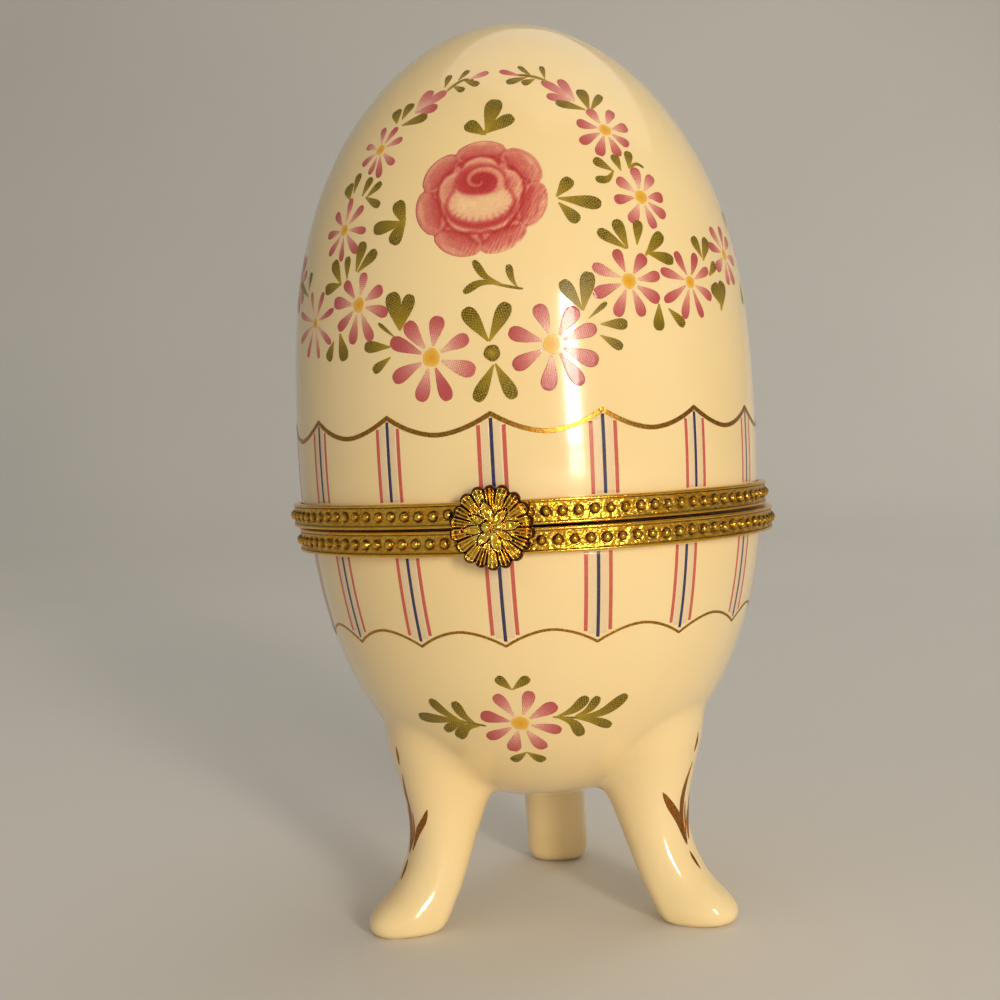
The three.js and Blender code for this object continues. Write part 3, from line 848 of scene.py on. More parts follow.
# ---------- the flower clasp ----------
def flower():
    """A stamped flower: 18 ridged lobes round an inner whorl of pointed petals and a knob."""
    na, nr = 540, 84
    th = np.linspace(0, 2 * np.pi, na, endpoint=False)
    rng = np.random.default_rng(5)
    lobes = 18
    jog = rng.uniform(-0.09, 0.09, lobes + 1)
    jog[-1] = jog[0]
    place = th * lobes / (2 * np.pi)
    place = place + np.interp(place, np.arange(lobes + 1), jog)
    number = np.floor(place).astype(int) % lobes
    u = place % 1.0
    x = np.abs(u - 0.5) * 2                                   # 0 at a lobe's middle, 1 in the notch
    reach = 5.2 + rng.uniform(-0.12, 0.10, lobes)[number]
    edge = reach - 0.56 * x ** 2.4
    edge = np.minimum(edge, 5.34)
    for _ in range(3):
        edge = (np.roll(edge, 1) + edge * 2 + np.roll(edge, -1)) / 4
    q = np.linspace(0, 1, nr) ** 0.92
    T, Q = np.meshgrid(th, q, indexing="ij")
    E = edge[:, None]
    rho = Q * E
    X, U = x[:, None], u[:, None]
    full = rho / 5.3
    step = lambda v, a, b: np.clip((v - a) / (b - a), 0, 1) ** 2 * (3 - 2 * np.clip((v - a) / (b - a), 0, 1))
    # outer lobes: plump, each pressed with three rays, and a narrow notch between lobes
    ray_w = rng.uniform(0.7, 1.25, lobes)[number][:, None]
    outer = 1.02 - 0.22 * full ** 3
    outer = outer + 0.13 * (1 - X ** 2.2) * step(full, 0.45, 0.75)
    rays = np.cos((U - 0.5) * 2 * np.pi * 3.0) * step(full, 0.42, 0.56) * (1 - step(full, 0.88, 0.96))
    outer = outer + 0.17 * ray_w * rays
    outer = outer - 0.17 * step(X, 0.82, 1.0) * step(full, 0.55, 0.70)
    outer = outer + 0.13 * np.exp(-((full - 0.925) / 0.035) ** 2) * (1 - X ** 3)
    outer = outer - 0.12 * np.exp(-((full - 0.845) / 0.035) ** 2) * (1 - X ** 3)
    # middle ring: short rays between the two whorls
    um = (T * 27 / (2 * np.pi) + 0.2 * np.sin(2 * T)) % 1.0
    outer = outer + 0.09 * np.cos((um - 0.5) * 2 * np.pi) * step(full, 0.30, 0.42) * (1 - step(full, 0.56, 0.66))
    # inner whorl of pointed petals, every one with a ridge each side of a hollow
    ni = 8
    lengths = np.array([3.5, 2.7, 3.3, 2.9, 3.55, 2.6, 3.2, 2.9])
    pi_ = T * ni / (2 * np.pi) + 0.30 + 0.16 * np.sin(2 * T + 0.6)
    ii = np.floor(pi_).astype(int) % ni
    xi = np.abs(pi_ % 1.0 - 0.5) * 2
    tip = lengths[ii] * (1 - 0.55 * xi ** 1.35)
    w = np.clip(rho / 3.0, 0, 1)
    petal = 1.48 - 0.20 * w - 0.34 * np.exp(-(xi / 0.30) ** 2) * step(rho, 0.9, 1.7) * (1 - step(rho / np.maximum(tip, 0.1), 0.75, 1.0))
    petal = petal + 0.08 * np.exp(-((xi - 0.52) / 0.16) ** 2) * step(rho, 0.8, 1.5) - 0.34 * step(xi, 0.70, 1.0)
    petal = petal + 0.035 * np.cos(rho * 9.0) * np.exp(-(xi / 0.4) ** 2)
    blend = step(tip - rho, 0.0, 0.22)
    z = outer * (1 - blend) + petal * blend
    z = z - 0.22 * np.exp(-((rho - tip - 0.10) / 0.14) ** 2) * (rho > tip - 0.05)
    # small punched grain everywhere
    px, pz = rho * np.cos(T), rho * np.sin(T)
    grain = np.zeros_like(z)
    for k in range(420):
        gx, gz, gr, gh = rng.uniform(-5, 5), rng.uniform(-5, 5), rng.uniform(0.12, 0.26), rng.uniform(-0.045, 0.045)
        near = (np.abs(px - gx) < gr) & (np.abs(pz - gz) < gr)
        grain[near] += gh * np.clip(1 - ((px[near] - gx) ** 2 + (pz[near] - gz) ** 2) / gr ** 2, 0, 1)
    z = z + grain
    # a raised knob a little to the left of the middle, in a shallow ring
    dk = np.hypot(px + 0.62, pz - 0.10)
    z = z - 0.22 * np.exp(-((dk - 0.74) / 0.16) ** 2)
    dome = 1.30 + 0.66 * np.sqrt(np.clip(1 - (dk / 0.60) ** 2, 0, 1))
    z = np.where(dk < 0.60, np.maximum(dome, z), z)
    fall = np.clip((1 - Q) / 0.085, 0, 1)
    z = 0.35 + (z - 0.35) * np.sqrt(np.maximum(1 - (1 - fall) ** 2, 0))
    z = np.clip(z, 0.3, 2.08)
    smooth = z.copy()
    for _ in range(16):
        smooth = (np.roll(smooth, 1, 0) + np.roll(smooth, -1, 0) + np.concatenate([smooth[:, :1], smooth[:, :-1]], 1)
                  + np.concatenate([smooth[:, 1:], smooth[:, -1:]], 1)) / 4
    # painted shade: darker where the surface lies below its smoothed neighbourhood and in the punched pits, with a dark
    # painted band along the rolled rim
    hollow = np.clip(-0.06 + (smooth - z) * 6.0 - 0.3 * grain, 0, 1)
    hollow = np.maximum(hollow, 0.95 * np.clip((Q - 0.915) / 0.02, 0, 1))
    X3 = AXIS["lid"] + px
    Z3 = 55.45 + pz
    Y3 = -33.45 - z
    front = np.stack([X3, Y3, Z3], -1)
    side_ring = np.stack([AXIS["lid"] + edge * np.cos(th) * 0.985, np.full(na, -33.55), 55.45 + edge * np.sin(th) * 0.985], -1)
    back_ring = np.stack([AXIS["lid"] + edge * np.cos(th) * 0.93, np.full(na, -33.45), 55.45 + edge * np.sin(th) * 0.93], -1)
    v = np.concatenate([front[:, 1:].reshape(-1, 3), side_ring, back_ring, front[:1, 0], [[AXIS["lid"], -33.45, 55.45]]])
    m = nr - 1
    f = []
    base_side, base_back, tipi, backi = na * m, na * m + na, na * m + 2 * na, na * m + 2 * na + 1
    for i in range(na):
        j = (i + 1) % na
        for k in range(m - 1):
            f.append((i * m + k, i * m + k + 1, j * m + k + 1, j * m + k))
        f.append((i * m + m - 1, base_side + i, base_side + j, j * m + m - 1))
        f.append((base_side + i, base_back + i, base_back + j, base_side + j))
        f.append((tipi, i * m, j * m))
        f.append((backi, base_back + j, base_back + i))
    # painted shade on the clasp's side and back rings, kept light at the middle point
    hol = np.concatenate([hollow[:, 1:].reshape(-1), np.full(na, 0.9), np.full(na, 0.9), [0.1], [0.9]])
    obj = make_object("clasp_flower_stamped", v, f, "lid", CLASP_BRASS, {"hollow": hol})
    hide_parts("clasp_flower")
    return obj


# ---------- the hinge ----------
def barrel(heap, x0, x1, y, z, ro, ri, n=40):
    c = 0.12
    outline = [(x0, ri), (x0, ro - c), (x0 + 0.3 * c, ro - 0.3 * c), (x0 + c, ro), (x1 - c, ro), (x1 - 0.3 * c, ro - 0.3 * c), (x1, ro - c), (x1, ri)]
    a = np.linspace(0, 2 * np.pi, n, endpoint=False)
    m = len(outline)
    v = [(x, y + r * math.cos(t), z + r * math.sin(t)) for t in a for x, r in outline]
    f = [(i * m + k, i * m + (k + 1) % m, ((i + 1) % n) * m + (k + 1) % m, ((i + 1) % n) * m + k) for i in range(n) for k in range(m)]
    heap.add(v, [tuple(reversed(q)) for q in f], hollow=0.25)


def plate(heap, outline, y0, y1, bevel=0.1):
    """A flat plate in the x-z plane with a chamfered back edge; outline runs anticlockwise seen from +y... """
    o = np.asarray(outline, float)
    c = o.mean(0)
    n = len(o)
    inner = o + (c - o) / np.linalg.norm(c - o, axis=1, keepdims=True) * bevel
    rings = [(o, y0), (o, y1 - bevel), (inner, y1)]
    v = [(x, y, z) for r, y in rings for x, z in r]
    f = []
    for k in range(2):
        for i in range(n):
            j = (i + 1) % n
            f.append((k * n + i, (k + 1) * n + i, (k + 1) * n + j, k * n + j))
    f.append(tuple(range(n)))
    f.append(tuple(2 * n + i for i in reversed(range(n))))
    heap.add(v, f, hollow=0.3)


def hinge():
    Y, Z, R, P = 34.85, SEAM, 1.35, 0.68
    half, m, e, t, reach = 4.4, 1.4, 1.6, 0.5, 3.1
    y0 = Y - R
    for name, body, up, spans in (("hinge_leaf_base", "base", -1, ((-half, -e), (e, half))), ("hinge_leaf_lid", "lid", 1, ((-m, m),))):
        heap = Heap("hollow")
        near, far, r = R + 0.2, reach, 0.7
        pts = []
        corners = [(-half, near, 0), (half, near, 0), (half, far, 1), (-half, far, 1)]
        for x, h, rounded in corners:
            if not rounded:
                pts.append((x, h))
                continue
            cx, ch = x - math.copysign(r, x), h - r
            s = math.copysign(1, x)
            arc = [(cx + s * r * math.cos(q), ch + r * math.sin(q)) for q in np.linspace(0, np.pi / 2, 7)]
            pts += arc if s > 0 else arc[::-1]
        outline = [(x, Z + up * h) for x, h in pts]
        if up < 0:
            outline = outline[::-1]
        plate(heap, outline, y0, y0 + t)
        for a, b in spans:
            tab = [(a, Z + up * (R * 0.2)), (b, Z + up * (R * 0.2)), (b, Z + up * (near + 0.05)), (a, Z + up * (near + 0.05))]
            if up < 0:
                tab = tab[::-1]
            plate(heap, tab, y0, y0 + t, 0.02)
            barrel(heap, a, b, Y, Z, R, P)
        obj = heap.done(name + "_formed", body, "hinge_brass", BRASS, sharp=40)
        weld(obj, 40)
        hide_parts(name)
    end = half + 0.15
    outline = [(0, -end - .35), (.35, -end - .33), (.62, -end - .24), (.8, -end - .12), (.88, -end), (.58, -end), (.58, end), (.88, end), (.8, end + .12),
               (.62, end + .24), (.35, end + .33), (0, end + .35)]
    n = 32
    a = np.linspace(0, 2 * np.pi, n, endpoint=False)
    k = len(outline)
    v = [(x, Y + r * math.cos(q), Z + r * math.sin(q)) for q in a for r, x in outline]
    f = [(i * k + p, ((i + 1) % n) * k + p, ((i + 1) % n) * k + p + 1, i * k + p + 1) for i in range(n) for p in range(k - 1)]
    obj = make_object("hinge_pin_turned", v, f, "base", BRASS, {"hollow": np.full(len(v), 0.2)}, sharp=40)
    weld(obj, 40)
    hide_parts("hinge_pin")


base_porcelain()
lid_porcelain()
rim(1)
rim(-1)
flower()
hinge()


# ---------- the painting ----------
# Places are (azimuth in degrees, height in mm); widths are in mm.
LID_SPRAYS = [
    ('petal', [(-113.38, 107.8), (-109.81, 110.85)], 1.76),
    ('petal', [(-113.38, 107.8), (-103.54, 110.3)], 1.70),
    ('petal', [(-113.38, 107.8), (-105.24, 108.09)], 1.58),
    ('petal', [(-61.68, 107.78), (-64.56, 111.05)], 1.44),
    ('petal', [(-61.68, 107.78), (-71.19, 110.72)], 1.51),
    ('petal', [(-61.68, 107.78), (-70.7, 108.46)], 1.46),
    ('leaf', [(-104.69, 110.81), (-104.5, 112.77)], 0.96),
    ('leaf', [(-100.37, 111.61), (-97.15, 113.15)], 0.84),
    ('leaf', [(-98.53, 111.66), (-92.33, 110.61)], 1.08),
    ('leaf', [(-101.78, 110.94), (-97.27, 109.94)], 0.99),
    ('stem', [(-103.81, 110.17), (-102.06, 110.8), (-98.14, 111.64), (-94.38, 111.46)], 0.51),
    ('petal', [(-96.62, 111.57), (-89.23, 112.49)], 1.04),
    ('leaf', [(-69.6, 111.02), (-69.64, 113.09)], 0.75),
    ('leaf', [(-73.73, 111.19), (-78.39, 113.16)], 0.74),
    ('leaf', [(-75.4, 111.37), (-83.13, 110.59)], 1.14),
    ('leaf', [(-73.1, 111.03), (-77.81, 110.32)], 1.09),
    ('stem', [(-68.85, 110.56), (-71.01, 111.03), (-74.99, 111.52), (-79.51, 111.74)], 0.48),
    ('petal', [(-77.79, 111.55), (-85.55, 112.52)], 1.00),
    ('leaf', [(-117.83, 107.16), (-116.39, 109.44)], 1.64),
    ('leaf', [(-119.39, 106.72), (-122.24, 108.91)], 1.64),
    ('leaf', [(-117.33, 106.29), (-108.0, 107.0)], 1.59),
    ('leaf', [(-58.01, 106.54), (-58.28, 109.62)], 1.74),
    ('leaf', [(-57.79, 106.4), (-51.21, 108.92)], 1.14),
    ('leaf', [(-59.02, 106.52), (-68.29, 107.58)], 1.44),
    ('leaf', [(-129.19, 98.16), (-129.0, 100.91)], 1.27),
    ('leaf', [(-125.36, 97.47), (-123.12, 99.91)], 1.33),
    ('leaf', [(-123.66, 97.21), (-118.82, 98.92)], 1.19),
    ('leaf', [(-124.14, 97.37), (-118.02, 95.76)], 1.12),
    ('leaf', [(-130.42, 97.48), (-132.91, 99.65)], 2.00),
    ('leaf', [(-53.72, 98.28), (-54.78, 100.52)], 1.32),
    ('leaf', [(-56.11, 98.23), (-61.05, 99.75)], 1.42),
    ('leaf', [(-51.08, 98.61), (-49.63, 101.06)], 1.29),
    ('leaf', [(-55.74, 98.37), (-58.34, 97.15), (-61.64, 97.12)], 1.11),
    ('stem', [(-50.99, 98.74), (-47.97, 99.36), (-45.98, 98.89)], 0.45),
    ('leaf', [(-123.77, 87.77), (-121.95, 91.57)], 1.73),
    ('leaf', [(-123.4, 87.62), (-117.34, 90.13)], 1.63),
    ('leaf', [(-126.87, 86.95), (-127.3, 90.03)], 1.26),
    ('leaf', [(-129.12, 86.59), (-133.09, 89.79)], 1.76),
    ('leaf', [(-128.72, 86.56), (-136.11, 86.13)], 1.56),
    ('leaf', [(-146.22, 86.76), (-145.45, 89.2)], 1.19),
    ('leaf', [(-145.8, 85.94), (-159.83, 89.22)], 1.32),
    ('leaf', [(-56.2, 88.28), (-63.21, 90.63)], 1.52),
    ('leaf', [(-55.93, 88.28), (-58.19, 92.03)], 1.75),
    ('leaf', [(-53.35, 88.8), (-51.88, 91.98)], 1.48),
    ('leaf', [(-51.57, 87.45), (-45.34, 90.46)], 1.75),
    ('leaf', [(-51.41, 87.95), (-43.04, 86.95)], 1.59),
    ('leaf', [(-32.34, 87.63), (-34.7, 90.4)], 1.64),
    ('leaf', [(-32.15, 87.25), (-28.45, 90.39)], 1.73),
    ('leaf', [(-30.62, 85.37), (-26.5, 87.2)], 1.38),
    ('leaf', [(-26.86, 81.73), (-29.27, 84.5)], 2.38),
    ('leaf', [(-27.24, 80.94), (-24.36, 84.93)], 2.11),
    ('leaf', [(-110.14, 79.71), (-112.6, 84.63)], 2.33),
    ('leaf', [(-110.14, 79.71), (-107.25, 84.11)], 1.87),
    ('leaf', [(-68.37, 80.76), (-72.82, 84.59)], 1.75),
    ('leaf', [(-68.37, 80.76), (-66.23, 85.59)], 2.00),
    ('leaf', [(-112.61, 77.86), (-120.46, 78.21)], 1.55),
    ('leaf', [(-112.67, 76.64), (-117.87, 75.0)], 1.28),
    ('leaf', [(-110.96, 78.77), (-116.2, 80.98)], 0.53),
    ('leaf', [(-64.68, 79.13), (-57.97, 79.06)], 1.46),
    ('leaf', [(-64.86, 77.8), (-59.63, 76.16)], 1.27),
    ('leaf', [(-67.36, 79.77), (-62.63, 81.78)], 0.67),
    ('leaf', [(-128.78, 80.36), (-126.93, 76.74)], 1.93),
    ('leaf', [(-131.15, 79.46), (-133.75, 77.03)], 1.66),
    ('leaf', [(-49.26, 81.62), (-50.0, 78.17)], 1.78),
    ('leaf', [(-46.8, 81.02), (-42.09, 78.81)], 1.38),
    ('leaf', [(-89.3, 77.57), (-94.58, 81.85)], 2.05),
    ('leaf', [(-89.3, 77.57), (-84.78, 82.23)], 1.94),
    ('dot', [(-88.75, 76.23)], 2.04),
    ('leaf', [(-88.42, 74.9), (-92.73, 70.48)], 1.77),
    ('leaf', [(-88.2, 75.01), (-84.26, 70.59)], 1.73),
    ('leaf', [(-89.16, 103.36), (-95.13, 105.27)], 1.94),
    ('leaf', [(-89.17, 103.64), (-86.43, 108.31)], 2.28),
    ('leaf', [(-90.83, 103.43), (-81.18, 105.73)], 1.99),
    ('leaf', [(-109.59, 92.67), (-112.73, 96.04)], 1.98),
    ('leaf', [(-109.4, 93.16), (-119.29, 92.79)], 1.88),
    ('leaf', [(-109.52, 93.8), (-112.91, 90.49)], 2.07),
    ('leaf', [(-72.26, 94.84), (-67.9, 97.24)], 1.71),
    ('leaf', [(-72.04, 94.71), (-60.96, 93.91)], 1.83),
    ('leaf', [(-71.9, 94.2), (-67.38, 91.65)], 1.67),
    ('leaf', [(-85.93, 84.44), (-89.43, 85.4), (-92.29, 87.58)], 1.02),
    ('leaf', [(-86.37, 84.45), (-90.82, 84.73), (-94.73, 83.67)], 1.03),
    ('stem', [(-88.14, 84.63), (-85.06, 84.17), (-81.14, 83.69)], 0.39),
    ('leaf', [(-82.44, 83.85), (-83.67, 84.97), (-84.41, 86.82)], 0.96),
]
BASE_SPRAYS = [
    ('leaf', [(-90.82, 34.77), (-94.58, 36.55)], 1.38),
    ('leaf', [(-90.82, 34.77), (-86.02, 36.44)], 1.28),
    ('leaf', [(-89.19, 25.81), (-95.48, 24.37)], 1.45),
    ('leaf', [(-89.19, 25.81), (-83.21, 24.27)], 1.55),
    ('leaf', [(-107.84, 30.37), (-112.32, 31.42), (-116.45, 33.29)], 1.58),
    ('leaf', [(-106.82, 30.39), (-115.48, 30.47), (-124.09, 30.59)], 1.72),
    ('leaf', [(-102.98, 29.87), (-106.35, 30.98), (-108.52, 33.2)], 1.59),
    ('leaf', [(-105.27, 30.27), (-110.36, 29.88), (-115.84, 28.69)], 1.40),
    ('leaf', [(-102.43, 29.73), (-106.57, 29.52), (-112.08, 27.75)], 1.79),
    ('stem', [(-109.85, 30.4), (-105.39, 30.13), (-100.17, 29.75)], 0.41),
    ('leaf', [(-79.25, 30.82), (-74.4, 31.65), (-70.39, 33.42)], 1.53),
    ('leaf', [(-73.72, 30.78), (-70.02, 31.48), (-67.24, 33.29)], 1.33),
    ('leaf', [(-73.99, 30.65), (-66.27, 30.9), (-58.56, 33.13)], 1.68),
    ('leaf', [(-78.96, 30.81), (-74.5, 29.96), (-70.91, 27.79)], 1.59),
    ('leaf', [(-73.68, 30.5), (-68.44, 30.01), (-61.47, 28.82)], 1.48),
    ('stem', [(-80.41, 30.85), (-76.63, 30.67), (-72.19, 30.51)], 0.36),
]
LID_DAISIES = [
    (-102.44, 76.17, 1.20, 1.92, [(78.0, 5.13), (24.0, 5.31), (-20.0, 5.92), (-69.0, 5.76), (-109.0, 5.57), (-156.0, 6.04), (157.0, 6.25), (126.0, 5.68)]),
    (-75.48, 76.93, 1.20, 1.92, [(161.0, 5.6), (109.0, 5.16), (54.0, 5.39), (18.0, 5.85), (-23.0, 6.04), (-56.0, 6.1), (-100.0, 5.68), (-152.0, 5.6)]),
    (-122.18, 83.53, 1.02, 1.56, [(81.0, 4.16), (24.0, 4.3), (-18.0, 5.09), (-64.0, 5.25), (-104.0, 5.06), (-146.0, 4.92), (171.0, 5.16), (132.0, 4.36)]),
    (-56.70, 84.32, 1.02, 1.56, [(109.0, 4.23), (50.0, 4.29), (10.0, 4.77), (-30.0, 4.92), (-71.0, 4.69), (-116.0, 4.89), (-161.0, 5.24), (157.0, 5.1)]),
    (-38.64, 84.39, 0.84, 1.32, [(116.0, 4.32), (63.0, 4.33), (23.0, 4.76), (-25.0, 4.73), (-69.0, 4.85), (-112.0, 5.12), (-153.0, 5.6), (165.0, 5.14)]),
    (-49.54, 94.98, 0.96, 1.50, [(90.0, 4.14), (49.0, 4.09), (1.0, 3.66), (-36.0, 4.24), (-74.0, 4.35), (-124.0, 4.23), (-172.0, 4.12), (143.0, 3.86)]),
    (-54.98, 103.78, 0.90, 1.44, [(112.0, 3.57), (57.0, 3.89), (12.0, 3.71), (-37.0, 3.66), (-78.0, 4.08), (-116.0, 4.43), (-152.0, 4.56), (163.0, 3.84)]),
    (-130.02, 93.56, 0.78, 1.14, [(136.0, 3.93), (88.0, 4.31), (42.0, 4.13), (-10.0, 4.38), (-47.0, 4.69), (-89.0, 4.23), (-136.0, 4.31), (-176.0, 4.16)]),
    (-122.51, 103.44, 0.78, 1.08, [(105.0, 3.75), (62.0, 3.61), (17.0, 3.51), (-40.0, 4.06), (-76.0, 4.38), (-106.0, 3.59), (-150.0, 3.51), (161.0, 3.47)]),
    (-140.04, 82.22, 0.72, 0.96, [(115.0, 4.75), (64.0, 4.27), (16.0, 4.86), (-36.0, 5.22), (-77.0, 4.88), (-121.0, 5.09), (-161.0, 6.45), (164.0, 7.15)]),
]
BASE_DAISIES = [
    (-89.72, 30.16, 1.20, 1.80, [(71.0, 5.33), (30.0, 5.62), (-18.0, 5.33), (-62.0, 5.52), (-107.0, 5.48), (-151.0, 5.41), (165.0, 5.29), (122.0, 5.39)]),
]
ROSE_AT = (-90.52, 94.95)


def generic_rose(width=16.6, height=15.8, outer=7, inner=5):
    """A cabbage rose of the common kind: two rings of overlapping petals round a bowl and a rolled heart, in mm."""
    def ring(share, a, lift=0.0):
        return (width / 2 * share * np.cos(a), 0.4 + lift + height / 2 * share * np.sin(a))

    def arc(share, a0, a1, lift=0.0, n=5):
        return [ring(share, a, lift) for a in np.linspace(a0, a1, n)]

    def oval(x, y, rx, ry, n=20):
        return [(x + rx * np.cos(a), y + ry * np.sin(a)) for a in np.linspace(0, 2 * np.pi, n, endpoint=False)]

    def strip(pts, widths, start, end, feather=1.0):
        return ("strip", pts, list(zip(np.linspace(0, 1, len(widths)), widths)), (start, end), feather)

    edge = []
    for a in np.linspace(0, 2 * np.pi, outer * 12, endpoint=False):
        lobe = abs(np.cos(outer * (a - np.pi / 2) / 2))
        edge.append(ring((0.89 + 0.11 * lobe ** 0.6) * (1 + 0.025 * np.sin(2 * a + 0.7)), a))
    out = [("blob", edge, (0.0, 0.4), (0.48, 0.48), 1.0)]
    for k in range(outer):
        a = np.pi / 2 + 2 * np.pi * k / outer
        out.append(strip(arc(0.79, a - 0.40, a + 0.40), [0.8, 2.8, 3.3, 2.8, 0.8], (0.36, 0.54, 0.86), (0.44, 0.60, 0.88), 1.2))
        out.append(strip(arc(0.93, a - 0.26, a + 0.22), [0.2, 0.7, 0.2], (0.24, 0.28, 0.34), (0.24, 0.28, 0.34)))
        b = a + np.pi / outer
        out.append(strip([ring(0.60, b), ring(0.78, b + 0.05), ring(0.93, b)], [0.7, 0.42, 0.18], (0.9, 0.9, 0.9), (0.7, 0.7, 0.7)))
    for k in range(inner):
        a = -np.pi / 2 + 2 * np.pi * (k + 0.5) / inner
        out.append(strip(arc(0.63, a - 0.60, a + 0.60, 0.3), [0.3, 0.8, 0.9, 0.8, 0.3], (0.92, 0.92, 0.9), (0.92, 0.92, 0.9)))
        out.append(strip(arc(0.49, a - 0.56, a + 0.56, 0.3), [0.6, 2.2, 2.6, 2.2, 0.6], (0.20, 0.42, 0.84), (0.26, 0.46, 0.86), 1.2))
    # the bowl: a broad pale petal in front, a deep line under it, short strokes up from the line
    out.append(("blob", oval(0.0, -0.7, 4.5, 3.1), (0.0, -0.7), (0.86, 0.80), 1.2))
    out.append(("blob", oval(0.0, -0.3, 4.1, 2.6), (0.0, -0.3), (0.10, 0.30), 1.5))
    for k in range(11):
        a = np.pi * (1.12 + 0.76 * k / 10)
        foot = (4.0 * np.cos(a), -0.3 + 2.5 * np.sin(a))
        out.append(strip([foot, (foot[0] * 0.78, -0.3 + (foot[1] + 0.3) * 0.66)], [0.42, 0.10], (0.66, 0.66, 0.66), (0.3, 0.3, 0.3)))
    # the heart: a deep throat with one pale rolled edge turning inwards
    out.append(("blob", oval(0.0, 2.5, 3.3, 2.5), (0.0, 2.5), (0.94, 0.66), 1.2))
    turn = np.linspace(0, 1, 16)
    angle = -0.45 * np.pi + turn * 2.2 * np.pi
    reach = 2.75 * (1 - turn) ** 0.85 + 0.25
    out.append(strip([(r * np.cos(a), 2.55 + 0.76 * r * np.sin(a)) for a, r in zip(angle, reach)],
                     [0.5, 0.9, 0.8, 0.6, 0.35], (0.26, 0.20, 0.5), (0.34, 0.28, 0.5)))
    out.append(strip([(3.1 * np.cos(a), 2.0 + 1.7 * np.sin(a)) for a in np.linspace(1.06 * np.pi, 1.94 * np.pi, 7)],
                     [0.3, 0.8, 0.95, 0.8, 0.3], (0.12, 0.14, 0.4), (0.12, 0.14, 0.4)))
    return out


ROSE = generic_rose()

FRONT = -88.6                                             # the wreath's line of symmetry


def arcs(cusps, cusp_z, depth, up):
    """Scallops: a function for the line's height at any azimuth, and the cusps in order."""
    c = sorted((a + 360) % 360 for a in cusps)

    def height(az):
        a = (az + 360) % 360
        k = max([i for i, x in enumerate(c) if x <= a], default=-1)
        lo, hi = (c[k], c[k + 1]) if 0 <= k < len(c) - 1 else (c[-1], c[0] + 360)
        if k == -1:
            a += 360
        u = 2 * (a - lo) / (hi - lo) - 1
        return cusp_z(a) - up * depth * (1 - abs(u) ** 1.8)
    return height, c


def spread(front, n):
    """The front cusps as they are, and the rest evenly round the back, n in all."""
    gap = front[0] + 360 - front[-1]
    k = n - len(front) + 1
    return list(front) + [front[-1] + gap * i / k for i in range(1, k)]


def banding(body, cusps, height, up, width, edge_z, material):
    gold, red, navy, lilac = (Heap("along", "across", "x_mm", "y_mm", "seed") for _ in range(4))
    for i, a in enumerate(cusps):
        b = cusps[(i + 1) % len(cusps)] + (360 if i == len(cusps) - 1 else 0)
        mid = (a + b) / 2
        chart = Chart(body, mid, height(mid % 360))
        az = np.linspace(a, b, 29)
        z = np.array([height(x % 360 if x not in (a, b) else (x + (1e-4 if x == a else -1e-4)) % 360) for x in az])
        stroke(gold, chart, chart.flat(az, z), width, "even", n=34, m=5, lift=0.03, seed=i * 1.7, layer=2)
        z0 = height((a + 1e-4) % 360)
        chart = Chart(body, a, z0)
        spot(gold, chart, (0, -0.02 * up), width * 0.52, n=16, m=3, lift=0.035, seed=i * 2.3, layer=3)
        for dx, w, heap, layer in ((-0.74, 0.92, lilac, 0), (0.74, 0.92, lilac, 0), (0.0, 0.46, navy, 1), (-1.56, 0.50, red, 1), (1.56, 0.50, red, 1)):
            here = a + math.degrees(dx / float(egg_radius(z0)))
            z1 = height(here % 360) - up * 0.12
            y0, y1 = float(at_height(edge_z)) - chart.s, float(at_height(z1)) - chart.s
            stroke(heap, chart, [(dx, y0), (dx * 1.0, (y0 + y1) / 2), (dx, y1)], w, "even", n=9, m=5, lift=0.016, seed=i * 3.1 + dx, layer=layer)
    slot = "porcelain_" + body
    gold.done(body + "_gold_line", body, slot, material)
    red.done(body + "_red_stripes", body, slot, RED)
    navy.done(body + "_navy_stripes", body, slot, NAVY)
    lilac.done(body + "_lilac_stripes", body, slot, LILAC)


class Painting:
    def __init__(self, body):
        self.body = body
        names = ("along", "across", "x_mm", "y_mm", "seed", "tone")
        self.petals, self.leaves, self.eyes = Heap(*names), Heap(*names), Heap(*names)
        self.count = 0

    def spray(self, kind, places, width):
        self.count += 1
        seed = self.count * 1.37
        chart = Chart(self.body, *places[0])
        if kind == "dot":
            spot(self.leaves, chart, (0, 0), width / 2, n=28, m=5, seed=seed, tones=(0, 1), layer=1)
            return
        az, z = zip(*places)
        pts = chart.flat(az, z)
        heap = self.petals if kind == "petal" else self.leaves
        stroke(heap, chart, pts, width, kind, n=14 if kind != "stem" else 12, m=7, seed=seed)

    def daisy(self, az, z, eye, width, petals):
        self.count += 1
        chart = Chart(self.body, az, z)
        for k, (angle, length) in enumerate(petals):
            a = math.radians(angle)
            d = np.array([math.cos(a), math.sin(a)])
            side = np.array([-d[1], d[0]])
            start = min(eye + 0.12, length * 0.3)
            bend = 0.10 * math.sin(self.count * 2.1 + k * 1.9)
            mid = d * (start + length) * 0.5 + side * bend
            stroke(self.petals, chart, [d * start, mid, d * length], width * (1.02 + 0.08 * math.sin(k * 2.7 + self.count)), "petal", n=14, m=7,
                   seed=self.count * 9.1 + k)
        spot(self.eyes, chart, (0, 0), eye * 0.99, n=28, m=5, lift=0.03, wobble=0.07, seed=float(self.count), layer=6)

    def round_daisy(self, az, z, size, turn):
        petals = [(turn + 45 * k + 5 * math.sin(k * 2.3 + az), size * (1 + 0.05 * math.sin(k * 1.7 + az))) for k in range(8)]
        self.daisy(az, z, size * 0.2, size * 0.33, petals)

    def done(self):
        slot = "porcelain_" + self.body
        self.leaves.done(self.body + "_painted_leaves", self.body, slot, LEAF)
        self.petals.done(self.body + "_painted_petals", self.body, slot, PETAL)
        self.eyes.done(self.body + "_painted_eyes", self.body, slot, EYE)


